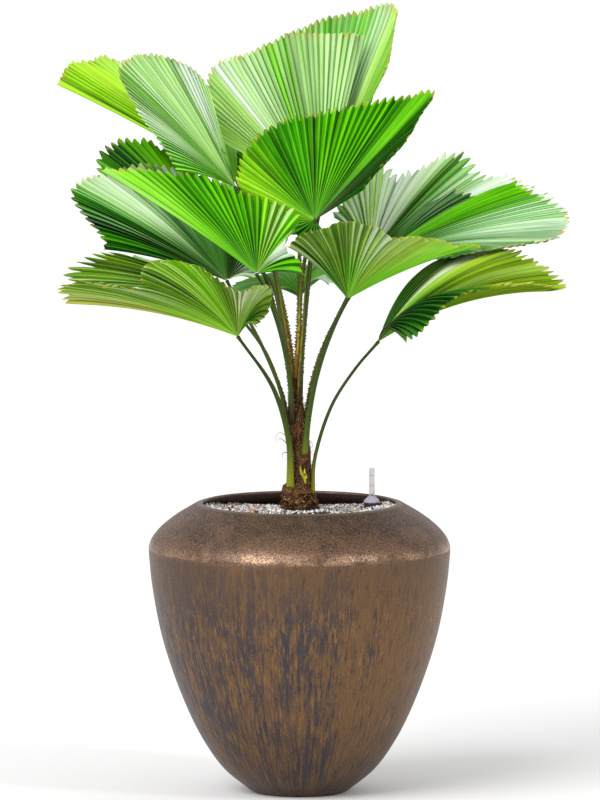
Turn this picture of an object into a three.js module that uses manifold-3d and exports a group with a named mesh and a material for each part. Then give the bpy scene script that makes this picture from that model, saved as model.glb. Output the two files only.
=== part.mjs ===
// Potted ruffled fan palm, in millimetres, +Z up, +X to the right, -Y towards the viewer.
// The origin is the centre of the pot's flat underside.
import * as THREE from 'three';
import { mergeVertices } from 'three/addons/utils/BufferGeometryUtils.js';
import Module from 'manifold-3d';

const wasm = await Module();
wasm.setup();

// Driving sizes of the pot
const POT_WIDEST_RADIUS = 251;
const POT_HEIGHT = 486;
const POT_CREASE_HEIGHT = 412;
const POT_FOOT_RADIUS = 76;
const POT_RIM_RADIUS = 167;
const POT_WALL = 8;
const POT_FLOOR = 14;
const POT_SEGMENTS = 44;
// How far along the belly and the shoulder the inner wall has its corners
const BELLY_CORNERS = [0.12, 0.35, 0.58, 0.8, 0.97];
const SHOULDER_CORNERS = [0.25, 0.6, 0.85];
const INNER_FOOT_RADIUS = 76;

// Driving sizes of what fills the pot. The gravel lies lower behind than at the sides, and is heaped
// round what stands in it.
const GRAVEL_BELOW_RIM = 21;
const GRAVEL_DEPTH = 22;
const GRAVEL_HEIGHT = POT_HEIGHT - GRAVEL_BELOW_RIM;
const GRAVEL_SAG = 5;
const GRAVEL_SIDE_RISE = 11;
const GRAVEL_REACH = 200;
const GRAVEL_BUMP = 1.5;
const GRAVEL_PITCH = 14;
const HEAP_WIDTH = 34;
const TRUNK_HEAP = 13;
const GAUGE_HEAP = 4;
const CLEARANCE = 0.3;

// Driving sizes of the water level gauge
const GAUGE_PLACE = [121, 60];
const GAUGE_TUBE_RADIUS = 4.7;
const GAUGE_TUBE_LENGTH = 47;
const GAUGE_BELL_RADIUS = 13.5;
const GAUGE_BELL_HEIGHT = 13;
const GAUGE_BASE_HEIGHT = 9;
const GAUGE_NECK = 5.9;
const GAUGE_BEVEL = 3;
const GAUGE_SIDES = 20;

// Driving sizes of the leaves and leaf stalks
const LEAFLET_PITCH = 38;
const PLEAT_DEPTH = 4;
const TOOTH_CUT = 0.07;
const BLADE_THICKNESS = 3.2;
const BLADE_STEPS = 3;
const SLOPE_STEP = 0.05;
const STALK_SIDES = 6;
const STALK_STEP = 42;
const STALK_TIP_RADIUS = 2.8;
const STALK_TAPER_END = 0.8;
const KNUCKLE_RADIUS = 3.6;

// The trunk's rings, from the flat cut at gravel level up: height, middle in x and y, half width, half depth
const TRUNK_SIDES = 12;
const TRUNK_RINGS = [
  { z: GRAVEL_HEIGHT + CLEARANCE, x: 0, y: 4, width: 32, depth: 32 },
  { z: 480, x: 0, y: 4, width: 29, depth: 29 },
  { z: 500, x: -1, y: 3, width: 27, depth: 27 },
  { z: 509, x: -4, y: 2, width: 23, depth: 24 },
  { z: 515, x: -4, y: 1, width: 21, depth: 21 },
  { z: 520, x: 1, y: 2, width: 17, depth: 20 },
  { z: 545, x: 2, y: 2, width: 15.5, depth: 18.5 },
  { z: 600, x: -1, y: 2, width: 13.5, depth: 17 },
  { z: 640, x: -6, y: 2, width: 11, depth: 14.5 },
  { z: 672, x: -7, y: 2, width: 9, depth: 11 },
  { z: 694, x: -7, y: 0, width: 4, depth: 5 },
];

// Each leaf: where its stalk leaves the trunk and passes, its hub, and the tips of its main ribs,
// measured from the hub. The ribs go round the blade from one edge to the other.
const LEAVES = {
  low_left_front: {
    stalk: [[-15, -16, 512], [-17.5, -22, 591], [-42.5, -45, 680]],
    hub: [-102, -110, 776],
    ribs: [[-285, -20, 56], [-300, -50, 90], [-247, -100, 100], [-167, -120, 96], [-163, -100, 128],
      [-117, -150, 143], [-77, -175, 137], [-30, -180, 116], [5, -165, 94], [32, -120, 99],
      [53, -90, 86], [50, -70, 45], [30, -50, 21]],
    arch: [0, 0, 14],
  },
  low_left_back: {
    stalk: [[-16, -7, 600], [-29, -8, 665], [-59, -10, 744]],
    hub: [-124, -10, 827],
    ribs: [[-255, 0, 34], [-270, 10, 42], [-240, 20, 66], [-197, 28, 75], [-143, 34, 60], [-80, 34, 44]],
    arch: [0, 0, 10],
  },
  left_front: {
    stalk: [[-11, -13, 620], [-17.5, -25, 703], [-34, -46, 782], [-57.5, -76, 851]],
    hub: [-71, -90, 878],
    ribs: [[-260, 10, 174], [-237, 30, 176], [-192, 50, 171], [-130, 60, 163], [-77, 60, 157],
      [-23, 50, 133], [22, 40, 122], [73, 20, 98], [57, 0, 66], [53, -30, 47], [72, -45, 28],
      [79, -55, 4]],
    arch: [0, 0, 6],
  },
  left_middle: {
    stalk: [[-17, 8, 612], [-30, 16, 668], [-62, 32, 744]],
    hub: [-121, 60, 851],
    ribs: [[-205, 0, 54], [-215, 10, 77], [-238, 20, 102], [-263, 30, 143], [-248, 50, 164],
      [-215, 80, 171], [-162, 100, 183], [-103, 120, 181], [-37, 110, 145], [10, 80, 110],
      [45, 35, 66], [62, 5, 25], [46, -10, 3]],
    arch: [0, 0, 8],
  },
  left_back: {
    stalk: [[-13, 13, 655], [-17, 19, 724], [-30, 40, 788], [-52, 68, 855]],
    hub: [-116, 120, 878],
    ribs: [[-223, 40, 133], [-223, 60, 173], [-190, 80, 197], [-153, 100, 194], [-110, 120, 172],
      [-75, 140, 147], [-25, 150, 104]],
    arch: [0, 0, 8],
  },
  top_left_front: {
    stalk: [[-13, 3, 676], [-16, 6, 724], [-29, 10, 800], [-48, 28, 890]],
    hub: [-107, 80, 1006],
    ribs: [[-98, -30, 30], [-122, -25, 68], [-147, -30, 107], [-182, -52, 165], [-195, -50, 202],
      [-157, 25, 221], [-118, 45, 216], [-73, 40, 197], [-50, 35, 167], [-47, 25, 106], [-22, 10, 58]],
    arch: [0, 0, 6],
  },
  top_left_back: {
    stalk: [[-10, 20, 640], [-13, 30, 722], [-28, 60, 812], [-50, 95, 890]],
    hub: [-104, 150, 1008],
    ribs: [[-302, -20, 166], [-285, 20, 194], [-253, 60, 201], [-217, 90, 200], [-137, 130, 161],
      [-70, 140, 118], [-3, 130, 69]],
    arch: [0, 0, 6],
  },
  top_front: {
    stalk: [[-2, -11, 655], [3, -10, 730], [7, -6, 780], [13, -1, 860]],
    hub: [26, 5, 959],
    ribs: [[22, -16, -28], [2, -26, -44], [-38, -25, -27], [-88, -20, 15], [-130, -10, 58],
      [-130, 20, 80], [-120, 50, 110],
      [-86, 70, 143], [-45, 75, 164], [-3, 75, 172], [42, 80, 182], [102, 80, 194], [160, 70, 202],
      [202, 40, 211], [170, 20, 162], [140, 0, 122], [82, -20, 56]],
    arch: [0, 0, 0],
  },
  top_young: {
    stalk: [[1, 8, 668], [4, 12, 730], [10, 22, 800], [20, 50, 890]],
    hub: [37, 95, 984],
    ribs: [[-65, 110, 269], [-30, 95, 272], [13, 90, 271], [50, 95, 271], [75, 110, 265]],
    arch: [0, 0, 0],
  },
  top_back: {
    stalk: [[-5, 2, 690], [-4, 5, 725], [-1, 14, 775], [4, 45, 858]],
    hub: [31, 135, 986],
    ribs: [[-177, 10, 102], [-187, 40, 138], [-188, 60, 178], [-178, 80, 211], [-127, 120, 229],
      [-75, 140, 249], [-2, 150, 280], [60, 140, 299], [127, 100, 314], [133, 60, 287],
      [118, 30, 222], [90, 20, 159]],
    arch: [0, 0, 0],
  },
  right_front: {
    stalk: [[8, -15, 567], [14, -21, 625], [27, -38, 697], [49, -68, 771]],
    hub: [80, -110, 839],
    ribs: [[-99, -150, 100], [-84, -160, 123], [-46, -185, 138], [-3, -190, 147], [41, -185, 139],
      [76, -165, 124], [111, -150, 120], [177, -90, 101], [219, -40, 96], [204, 0, 85]],
    arch: [0, 0, 10],
  },
  right_middle: {
    stalk: [[11, 4, 585], [15.5, 8, 625], [29, 16, 695], [52, 27, 764], [82, 38, 824]],
    hub: [142, 50, 900],
    ribs: [[60, 55, 62], [92, 60, 82], [120, 60, 95], [158, 60, 90], [217, 50, 113], [253, 20, 97],
      [307, -10, 66], [302, -40, 42], [267, -60, 22], [190, -70, 13], [108, -60, 0]],
    arch: [0, 0, 8],
  },
  right_back: {
    stalk: [[9.5, 17, 575], [15, 22, 625], [28, 40, 692], [50, 66, 758], [80, 98, 820]],
    hub: [119, 130, 886],
    ribs: [[-62, 90, 56], [-43, 110, 95], [20, 120, 136], [48, 130, 121], [97, 120, 145],
      [156, 100, 165], [188, 90, 128], [238, 60, 126], [278, 30, 111], [318, 0, 87], [330, -30, 74]],
    arch: [0, 0, 8],
  },
  low_right: {
    stalk: [[22, -4, 500], [24.5, -6, 556], [52.5, -14, 648], [91, -26, 711]],
    hub: [131, -40, 760],
    ribs: [[103, 90, 127], [147, 90, 138], [187, 80, 142], [223, 40, 149], [258, 10, 137],
      [285, -20, 126], [313, -60, 96], [235, -105, 106], [155, -128, 98], [125, -132, 82],
      [106, -132, 64], [88, -135, 44], [70, -132, 24], [45, -112, 10]],
    arch: [-8, 0, 24],
  },
  back_low: {
    stalk: [[-3, 20, 592], [-4, 34, 660], [-2, 66, 745]],
    hub: [0, 110, 818],
    ribs: [[-52, 10, -8], [-115, 90, -10], [-90, 190, 5], [0, 230, 25], [90, 190, 32], [105, 90, 36],
      [50, 10, 20]],
    arch: [0, 0, 20],
  },
  back_left: {
    stalk: [[-12, 19, 560], [-17, 36, 690], [-34, 66, 776], [-55, 95, 846]],
    hub: [-80, 190, 890],
    ribs: [[-150, 20, -20], [-200, 80, 40], [-150, 180, 80], [-60, 230, 90], [40, 210, 70], [80, 130, 30]],
    arch: [0, 0, 16],
  },
  back_right: {
    stalk: [[4, 23, 545], [10, 36, 620], [24, 62, 692], [49, 100, 757]],
    hub: [110, 180, 858],
    ribs: [[-40, 60, 30], [10, 200, 90], [120, 220, 100], [210, 130, 80], [240, 30, 40], [170, -30, 10]],
    arch: [0, 0, 16],
  },
  back_top: {
    stalk: [[-2, 20, 650], [-1, 40, 740], [0, 90, 850]],
    hub: [0, 190, 960],
    ribs: [[-160, 60, 60], [-150, 140, 150], [-60, 200, 200], [40, 210, 200], [108, 160, 135], [110, 70, 55]],
    arch: [0, 0, 0],
  },
};

// The radius of each stalk where it leaves the trunk
const STALK_BASE_RADIUS = 4.2;
const STALK_BASE_RADII = { low_left_front: 6.6, low_right: 3.6, right_front: 5.2 };

const bronze = new THREE.MeshStandardMaterial({ color: 0x735a46, roughness: 0.45, metalness: 0.7 });
const gravelGrey = new THREE.MeshStandardMaterial({ color: 0xcfc8c0, roughness: 0.9, metalness: 0 });
const soilBrown = new THREE.MeshStandardMaterial({ color: 0x3a2c22, roughness: 1, metalness: 0 });
const barkBrown = new THREE.MeshStandardMaterial({ color: 0x5a3e28, roughness: 0.95, metalness: 0 });
const stalkGreen = new THREE.MeshStandardMaterial({ color: 0x4a6428, roughness: 0.5, metalness: 0 });
const leafGreen = new THREE.MeshStandardMaterial({ color: 0x57a51e, roughness: 0.4, metalness: 0 });
const clearPlastic = new THREE.MeshStandardMaterial({ color: 0xd8d8d4, roughness: 0.2, metalness: 0 });
const darkPlastic = new THREE.MeshStandardMaterial({ color: 0x4a4048, roughness: 0.4, metalness: 0 });

const palm = new THREE.Group();

function addPiece(name, geometry, material) {
  const mesh = new THREE.Mesh(geometry, material);
  mesh.name = name;
  palm.add(mesh);
  return mesh;
}

function toManifold(geometry) {
  const bare = geometry.clone();
  bare.deleteAttribute('normal');
  bare.deleteAttribute('uv');
  const merged = mergeVertices(bare, 1e-3);
  return new wasm.Manifold(new wasm.Mesh({
    numProp: 3,
    vertProperties: Float32Array.from(merged.attributes.position.array),
    triVerts: Uint32Array.from(merged.index.array),
  }));
}

function fromManifold(solid) {
  const mesh = solid.getMesh();
  const geometry = new THREE.BufferGeometry();
  geometry.setAttribute('position', new THREE.BufferAttribute(Float32Array.from(mesh.vertProperties), 3));
  geometry.setIndex(new THREE.BufferAttribute(Uint32Array.from(mesh.triVerts), 1));
  geometry.computeVertexNormals();
  return geometry;
}

// Builds a closed surface from rings of equal length, with fans closing the first and last ring.
function ringSolid(rings) {
  const sides = rings[0].length;
  const positions = [];
  const faces = [];
  for (const ring of rings) {
    for (const point of ring) positions.push(point.x, point.y, point.z);
  }
  for (let r = 0; r < rings.length - 1; r++) {
    for (let s = 0; s < sides; s++) {
      const next = (s + 1) % sides;
      const a = r * sides + s;
      const b = r * sides + next;
      faces.push(a, b, b + sides, a, b + sides, a + sides);
    }
  }
  const last = (rings.length - 1) * sides;
  for (let s = 1; s < sides - 1; s++) {
    faces.push(0, s + 1, s, last, last + s, last + s + 1);
  }
  return indexed(positions, faces);
}

function indexed(positions, faces) {
  const geometry = new THREE.BufferGeometry();
  geometry.setAttribute('position', new THREE.Float32BufferAttribute(positions, 3));
  geometry.setIndex(faces);
  if (signedVolume(geometry) < 0) {
    for (let f = 0; f < faces.length; f += 3) [faces[f + 1], faces[f + 2]] = [faces[f + 2], faces[f + 1]];
    geometry.setIndex(faces);
  }
  geometry.computeVertexNormals();
  return geometry;
}

function signedVolume(geometry) {
  const at = geometry.attributes.position;
  const index = geometry.index.array;
  const a = new THREE.Vector3();
  const b = new THREE.Vector3();
  const c = new THREE.Vector3();
  let volume = 0;
  for (let f = 0; f < index.length; f += 3) {
    a.fromBufferAttribute(at, index[f]);
    b.fromBufferAttribute(at, index[f + 1]);
    c.fromBufferAttribute(at, index[f + 2]);
    volume += a.dot(b.cross(c)) / 6;
  }
  return volume;
}

function ringAround(center, across, up, radius, sides) {
  const ring = [];
  for (let s = 0; s < sides; s++) {
    const turn = (s / sides) * Math.PI * 2;
    ring.push(center.clone()
      .addScaledVector(across, Math.cos(turn) * radius)
      .addScaledVector(up, Math.sin(turn) * radius));
  }
  return ring;
}

// The pot's side: a smooth belly from the foot to the crease, and a low dome from there to the rim.
const belly = new THREE.SplineCurve([
  new THREE.Vector2(POT_FOOT_RADIUS + 10, 6),
  new THREE.Vector2(126, 39),
  new THREE.Vector2(161, 88),
  new THREE.Vector2(194, 156),
  new THREE.Vector2(228, 257),
  new THREE.Vector2(246, 350),
  new THREE.Vector2(POT_WIDEST_RADIUS, POT_CREASE_HEIGHT - 12),
]);
const shoulder = new THREE.SplineCurve([
  new THREE.Vector2(POT_WIDEST_RADIUS, POT_CREASE_HEIGHT + 4),
  new THREE.Vector2(246.5, 427),
  new THREE.Vector2(232.5, 443),
  new THREE.Vector2(208.5, 462.5),
  new THREE.Vector2(POT_RIM_RADIUS + 7, POT_HEIGHT - 2.5),
]);

const outerWall = [new THREE.Vector2(POT_FOOT_RADIUS, 0), ...belly.getPoints(8), ...shoulder.getPoints(5),
  new THREE.Vector2(POT_RIM_RADIUS, POT_HEIGHT)];

function insideOf(curve, part) {
  const along = curve.getTangent(part);
  return curve.getPoint(part).add(new THREE.Vector2(-along.y, along.x).multiplyScalar(POT_WALL));
}

const innerRim = new THREE.Vector2(POT_RIM_RADIUS - POT_WALL, POT_HEIGHT - 1);
const innerWall = [
  new THREE.Vector2(INNER_FOOT_RADIUS, POT_FLOOR),
  ...BELLY_CORNERS.map((part) => insideOf(belly, part)),
  ...SHOULDER_CORNERS.map((part) => insideOf(shoulder, part)),
  innerRim,
];

function makePot() {
  const profile = [new THREE.Vector2(0, 0), ...outerWall, ...innerWall.slice().reverse(),
    new THREE.Vector2(0, POT_FLOOR)];
  addPiece('pot', lathe(profile), bronze);
}

// A lathe geometry turns about Y, so it is stood up along Z.
function lathe(profile, segments = POT_SEGMENTS) {
  const geometry = new THREE.LatheGeometry(profile, segments);
  geometry.rotateX(Math.PI / 2);
  const solid = toManifold(geometry);
  return fromManifold(solid);
}

// The wall's inside radius at a height
function insideRadius(height) {
  const above = innerWall.findIndex((point) => point.y >= height);
  const low = innerWall[above - 1];
  const high = innerWall[above];
  return low.x + (high.x - low.x) * ((height - low.y) / (high.y - low.y));
}

// How much a heap adds at a distance from the middle of what it leans on
function heap(height, distance, radius) {
  return height * Math.max(0, 1 - Math.max(0, distance - radius) / HEAP_WIDTH) ** 2;
}

// The gravel's surface: its level, and bumps in turn high and low, as its pebbles lie
function gravelTop(x, y, column, row) {
  const foot = TRUNK_RINGS[0];
  const atTrunk = Math.hypot(x - foot.x, y - foot.y);
  const atGauge = Math.hypot(x - GAUGE_PLACE[0], y - GAUGE_PLACE[1]);
  const level = GRAVEL_HEIGHT - GRAVEL_SAG + GRAVEL_SIDE_RISE * (x / GRAVEL_REACH) ** 2;
  const bump = (column + row) % 2 === 0 ? GRAVEL_BUMP : -GRAVEL_BUMP;
  return level + bump + heap(TRUNK_HEAP, atTrunk, foot.width + GRAVEL_PITCH)
    + heap(GAUGE_HEAP, atGauge, GAUGE_BELL_RADIUS + GRAVEL_PITCH);
}

// The gravel's rough surface, far wider than the pot, with a flat underside
function gravelSlab(below) {
  const cells = Math.ceil(GRAVEL_REACH / GRAVEL_PITCH) + 1;
  const top = [];
  const under = [];
  for (let column = -cells; column <= cells; column++) {
    for (let row = -cells; row <= cells; row++) {
      const x = (column + (row % 2 === 0 ? 0 : 0.5)) * GRAVEL_PITCH;
      const y = row * GRAVEL_PITCH;
      top.push(new THREE.Vector3(x, y, gravelTop(x, y, column, row)));
      under.push(new THREE.Vector3(x, y, below));
    }
  }
  return sheetSolid(top, under, cells * 2 + 1, cells * 2 + 1);
}

// An upright cylinder that clears what stands on the gravel
function standingRoom(x, y, radius) {
  return wasm.Manifold.cylinder(POT_HEIGHT, radius + CLEARANCE, radius + CLEARANCE, POT_SEGMENTS)
    .translate([x, y, GRAVEL_HEIGHT]);
}

function makeFill() {
  const gap = CLEARANCE * 2;
  const below = GRAVEL_HEIGHT - GRAVEL_DEPTH;
  const soilWall = innerWall.filter((point) => point.y < below - gap)
    .map((point) => new THREE.Vector2(point.x - gap, point.y + CLEARANCE));
  addPiece('soil', lathe([new THREE.Vector2(0, POT_FLOOR + CLEARANCE), ...soilWall,
    new THREE.Vector2(insideRadius(below) - gap, below - CLEARANCE),
    new THREE.Vector2(0, below - CLEARANCE)]), soilBrown);
  const gravelWall = innerWall.filter((point) => point.y > below + gap)
    .map((point) => new THREE.Vector2(point.x - gap, point.y));
  const foot = TRUNK_RINGS[0];
  const room = lathe([new THREE.Vector2(0, below), new THREE.Vector2(insideRadius(below) - gap, below),
    ...gravelWall, new THREE.Vector2(0, POT_HEIGHT - 1)]);
  const gravel = toManifold(gravelSlab(below - GRAVEL_PITCH)).intersect(toManifold(room))
    .subtract(standingRoom(foot.x, foot.y, foot.width))
    .subtract(standingRoom(...GAUGE_PLACE, GAUGE_BELL_RADIUS));
  addPiece('gravel', fromManifold(gravel), gravelGrey);
}

function makeGauge() {
  const [x, y] = GAUGE_PLACE;
  const foot = GRAVEL_HEIGHT + CLEARANCE;
  const base = lathe([new THREE.Vector2(0, 0), new THREE.Vector2(GAUGE_BELL_RADIUS, 0),
    new THREE.Vector2(GAUGE_BELL_RADIUS, GAUGE_BASE_HEIGHT),
    new THREE.Vector2(0, GAUGE_BASE_HEIGHT)], GAUGE_SIDES);
  addPiece('gauge_base', base, darkPlastic).position.set(x, y, foot);
  const bell = lathe([new THREE.Vector2(0, 0), new THREE.Vector2(GAUGE_BELL_RADIUS, 0),
    new THREE.Vector2(GAUGE_BELL_RADIUS - GAUGE_BEVEL / 3, GAUGE_BEVEL),
    new THREE.Vector2(GAUGE_NECK + GAUGE_BEVEL * 2 / 3, GAUGE_BELL_HEIGHT - GAUGE_BEVEL),
    new THREE.Vector2(GAUGE_NECK, GAUGE_BELL_HEIGHT),
    new THREE.Vector2(0, GAUGE_BELL_HEIGHT)], GAUGE_SIDES);
  const bellFoot = foot + GAUGE_BASE_HEIGHT + CLEARANCE;
  addPiece('gauge_bell', bell, clearPlastic).position.set(x, y, bellFoot);
  const tubeFoot = bellFoot + GAUGE_BELL_HEIGHT + CLEARANCE;
  const tube = lathe([new THREE.Vector2(0, 0), new THREE.Vector2(GAUGE_TUBE_RADIUS, 0),
    new THREE.Vector2(GAUGE_TUBE_RADIUS, GAUGE_TUBE_LENGTH),
    new THREE.Vector2(0, GAUGE_TUBE_LENGTH)], GAUGE_SIDES);
  addPiece('gauge_tube', tube, clearPlastic).position.set(x, y, tubeFoot);
}

// A leaf stalk is one tapering limb, from the trunk to a small knuckle at the hub of its blade.
function stalkSolid(name, leaf, swell = 0) {
  const hub = new THREE.Vector3(...leaf.hub);
  const curve = new THREE.CatmullRomCurve3([...leaf.stalk.map((p) => new THREE.Vector3(...p)), hub]);
  const steps = Math.max(5, Math.round(curve.getLength() / STALK_STEP));
  const centers = curve.getSpacedPoints(steps);
  const frames = curve.computeFrenetFrames(steps);
  const base = STALK_BASE_RADII[name] ?? STALK_BASE_RADIUS;
  const rings = centers.map((center, i) => {
    const taper = Math.min(1, i / steps / STALK_TAPER_END);
    const radius = base + (STALK_TIP_RADIUS - base) * taper + swell;
    return ringAround(center, frames.normals[i], frames.binormals[i], radius, STALK_SIDES);
  });
  const forward = curve.getTangent(1);
  const knuckle = (distance, radius) => ringAround(
    hub.clone().addScaledVector(forward, distance),
    frames.normals[steps],
    frames.binormals[steps],
    radius + swell,
    STALK_SIDES,
  );
  const half = KNUCKLE_RADIUS / 2;
  rings.splice(-1, 1, knuckle(-KNUCKLE_RADIUS * 1.5, STALK_TIP_RADIUS), knuckle(-half, KNUCKLE_RADIUS),
    knuckle(half, KNUCKLE_RADIUS), knuckle(KNUCKLE_RADIUS, KNUCKLE_RADIUS * 0.4));
  return ringSolid(rings);
}

// A blade is a pleated fan: columns run from the hub along its ribs, ridges and valleys in turn,
// and its outline is cut back between the leaflets, at the valleys.
function bladeSolid(leaf) {
  const hub = new THREE.Vector3(...leaf.hub);
  const tips = new THREE.CatmullRomCurve3(leaf.ribs.map((rib) => new THREE.Vector3(...rib)));
  const leaflets = Math.max(6, Math.round(tips.getLength() / LEAFLET_PITCH));
  const columns = tips.getSpacedPoints(leaflets * 2);
  const arch = new THREE.Vector3(...leaf.arch);
  const stalkDirection = new THREE.Vector3(...leaf.stalk.at(-1)).sub(hub).normalize();
  const rayAt = (j, t) => columns[j].clone().multiplyScalar(t).addScaledVector(arch, 4 * t * (1 - t));
  const top = [];
  const under = [];
  for (let j = 0; j < columns.length; j++) {
    const length = columns[j].length();
    const backwards = columns[j].clone().normalize().dot(stalkDirection);
    const sine = Math.sqrt(Math.max(0.02, 1 - Math.max(0, backwards) ** 2));
    const besideStalk = (STALK_TIP_RADIUS + BLADE_THICKNESS / 2 + CLEARANCE) / sine;
    const start = Math.max(KNUCKLE_RADIUS + CLEARANCE * 1.5, backwards > 0 ? besideStalk : 0) / length;
    const ridge = j % 2 === 1;
    const edge = j === 0 || j === columns.length - 1;
    const end = ridge || edge ? 1 : 1 - TOOTH_CUT;
    const before = Math.max(0, j - 1);
    const after = Math.min(columns.length - 1, j + 1);
    for (let i = 0; i <= BLADE_STEPS; i++) {
      const t = start + (end - start) * (i / BLADE_STEPS);
      const across = rayAt(after, t).sub(rayAt(before, t));
      const along = rayAt(j, t).sub(rayAt(j, t - SLOPE_STEP));
      const normal = across.cross(along).normalize();
      const lift = (ridge ? 1 : -1) * PLEAT_DEPTH * t;
      const middle = rayAt(j, t).add(hub).addScaledVector(normal, lift);
      top.push(middle.clone().addScaledVector(normal, BLADE_THICKNESS / 2));
      under.push(middle.clone().addScaledVector(normal, -BLADE_THICKNESS / 2));
    }
  }
  return sheetSolid(top, under, columns.length, BLADE_STEPS + 1);
}

// Joins two matching grids of points, rows by steps, into one closed thin solid.
function sheetSolid(top, under, rows, steps) {
  const positions = [...top, ...under].flatMap((point) => [point.x, point.y, point.z]);
  const shift = top.length;
  const faces = [];
  const quad = (a, b, c, d) => faces.push(a, b, c, a, c, d);
  for (let j = 0; j < rows - 1; j++) {
    for (let i = 0; i < steps - 1; i++) {
      const a = j * steps + i;
      quad(a, a + 1, a + 1 + steps, a + steps);
      quad(a + shift, a + steps + shift, a + 1 + steps + shift, a + 1 + shift);
    }
    const inside = j * steps;
    quad(inside, inside + steps, inside + steps + shift, inside + shift);
    const outside = inside + steps - 1;
    quad(outside, outside + shift, outside + steps + shift, outside + steps);
  }
  for (let i = 0; i < steps - 1; i++) {
    quad(i, i + shift, i + 1 + shift, i + 1);
    const a = (rows - 1) * steps + i;
    quad(a, a + 1, a + 1 + shift, a + shift);
  }
  return indexed(positions, faces);
}

function trunkSolid() {
  return ringSolid(TRUNK_RINGS.map((ring) => ringAround(
    new THREE.Vector3(ring.x, ring.y, ring.z),
    new THREE.Vector3(ring.width, 0, 0),
    new THREE.Vector3(0, ring.depth, 0),
    1,
    TRUNK_SIDES,
  )));
}

makePot();
makeFill();
makeGauge();

let trunk = toManifold(trunkSolid());
for (const [name, leaf] of Object.entries(LEAVES)) {
  addPiece(`stalk_${name}`, stalkSolid(name, leaf), stalkGreen);
  addPiece(`blade_${name}`, bladeSolid(leaf), leafGreen);
  trunk = trunk.subtract(toManifold(stalkSolid(name, leaf, CLEARANCE / Math.cos(Math.PI / STALK_SIDES))));
}
addPiece('trunk', fromManifold(trunk), barkBrown);

export default palm;
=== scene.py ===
"""The looks of a potted ruffled fan palm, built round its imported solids, in metres with +Z up."""

import math

import bpy
import numpy as np
from bpy.props import FloatProperty, FloatVectorProperty, IntProperty, PointerProperty
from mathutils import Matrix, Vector, noise


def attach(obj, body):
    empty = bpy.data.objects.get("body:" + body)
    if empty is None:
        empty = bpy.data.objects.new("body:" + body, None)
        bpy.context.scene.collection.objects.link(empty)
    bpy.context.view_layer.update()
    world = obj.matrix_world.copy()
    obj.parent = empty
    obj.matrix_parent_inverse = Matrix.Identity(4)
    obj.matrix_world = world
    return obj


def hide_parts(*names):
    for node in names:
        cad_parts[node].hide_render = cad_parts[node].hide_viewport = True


bl_info = {
    "name": "Potted Fan Palm",
    "version": (1, 0, 0),
    "blender": (4, 5, 0),
    "location": "3D View > Sidebar > Fan Palm",
    "description": "Builds a potted ruffled fan palm with its stage",
    "category": "Add Mesh",
}

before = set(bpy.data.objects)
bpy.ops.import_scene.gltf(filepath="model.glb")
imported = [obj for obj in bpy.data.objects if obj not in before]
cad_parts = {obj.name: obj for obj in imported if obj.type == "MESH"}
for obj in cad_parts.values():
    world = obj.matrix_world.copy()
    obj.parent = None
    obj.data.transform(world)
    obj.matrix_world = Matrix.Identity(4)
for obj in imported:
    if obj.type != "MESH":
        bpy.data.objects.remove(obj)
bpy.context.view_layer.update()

MM = 0.001

# How near to each other two points of a mesh are when they are merged
MERGE_DISTANCE = 0.02 * MM

# The photograph's frame in pixels, the column of the pot's axis and the row of the floor in it, how many
# millimetres one pixel stands for, and how many degrees it looks down
PHOTO_WIDTH = 600
PHOTO_HEIGHT = 800
PHOTO_AXIS_COLUMN = 299.5
PHOTO_FLOOR_ROW = 792
MM_PER_PIXEL = 1.667
VIEW_ELEVATION = 6.5

# The pot's outline in millimetres, radius and height, as in the solid to within 2 mm
POT_HEIGHT = 486
POT_FOOT_RADIUS = 76
POT_RIM_RADIUS = 167
POT_WALL = 8
POT_FLOOR = 14
BELLY = [(86, 6), (126, 39), (161, 88), (194, 156), (228.5, 257), (246.5, 350), (251.4, 398)]
SHOULDER = [(252, 412), (249.8, 418.5), (245.8, 427), (232.5, 443), (208.5, 462.5), (174, 483.5)]

# The bed of gravel in millimetres: its height, how far it sags in the middle and rises at the sides, how far
# out that rise is reached, and how high it is heaped at the trunk and the gauge. A heap is level for a step
# and then falls over its width. The pebbles are piled a little higher still towards the sides.
GRAVEL_HEIGHT = 465
GRAVEL_SAG = 5
GRAVEL_SIDE_RISE = 11
GRAVEL_REACH = 200
TRUNK_HEAP = 13
GAUGE_HEAP = 4
HEAP_STEP = 14
HEAP_WIDTH = 34
SIDE_PILE = 7
SIDE_PILE_PLACE = 150

# Where the gauge stands in x and y, and its foot's height, just clear of the gravel's solid, in millimetres
GAUGE_PLACE = (121, 60)
GAUGE_FOOT = GRAVEL_HEIGHT + 0.3

# The trunk's rings in millimetres: height, middle in x and y, half width and half depth
TRUNK_RINGS = [
    (465.3, 0, 4, 32, 32),
    (480, 0, 4, 29, 29),
    (500, -1, 3, 27, 27),
    (509, -4, 2, 23, 24),
    (515, -4, 1, 21, 21),
    (520, 1, 2, 17, 20),
    (545, 2, 2, 15.5, 18.5),
    (600, -1, 2, 13.5, 17),
    (640, -6, 2, 11, 14.5),
    (672, -7, 2, 9, 11),
    (694, -7, 0, 4, 5),
]

# The stalks in millimetres: their radius at the foot, with the leaves where it differs, their radius at the
# tip with the share of the length at which it is reached, and the radius of the knuckle at the hub
STALK_BASE_RADIUS = 4.2
STALK_BASE_RADII = {"low_left_front": 6.6, "low_right": 3.6, "right_front": 5.2}
STALK_TIP_RADIUS = 2.8
STALK_TAPER_END = 0.8
KNUCKLE_RADIUS = 3.6

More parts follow.
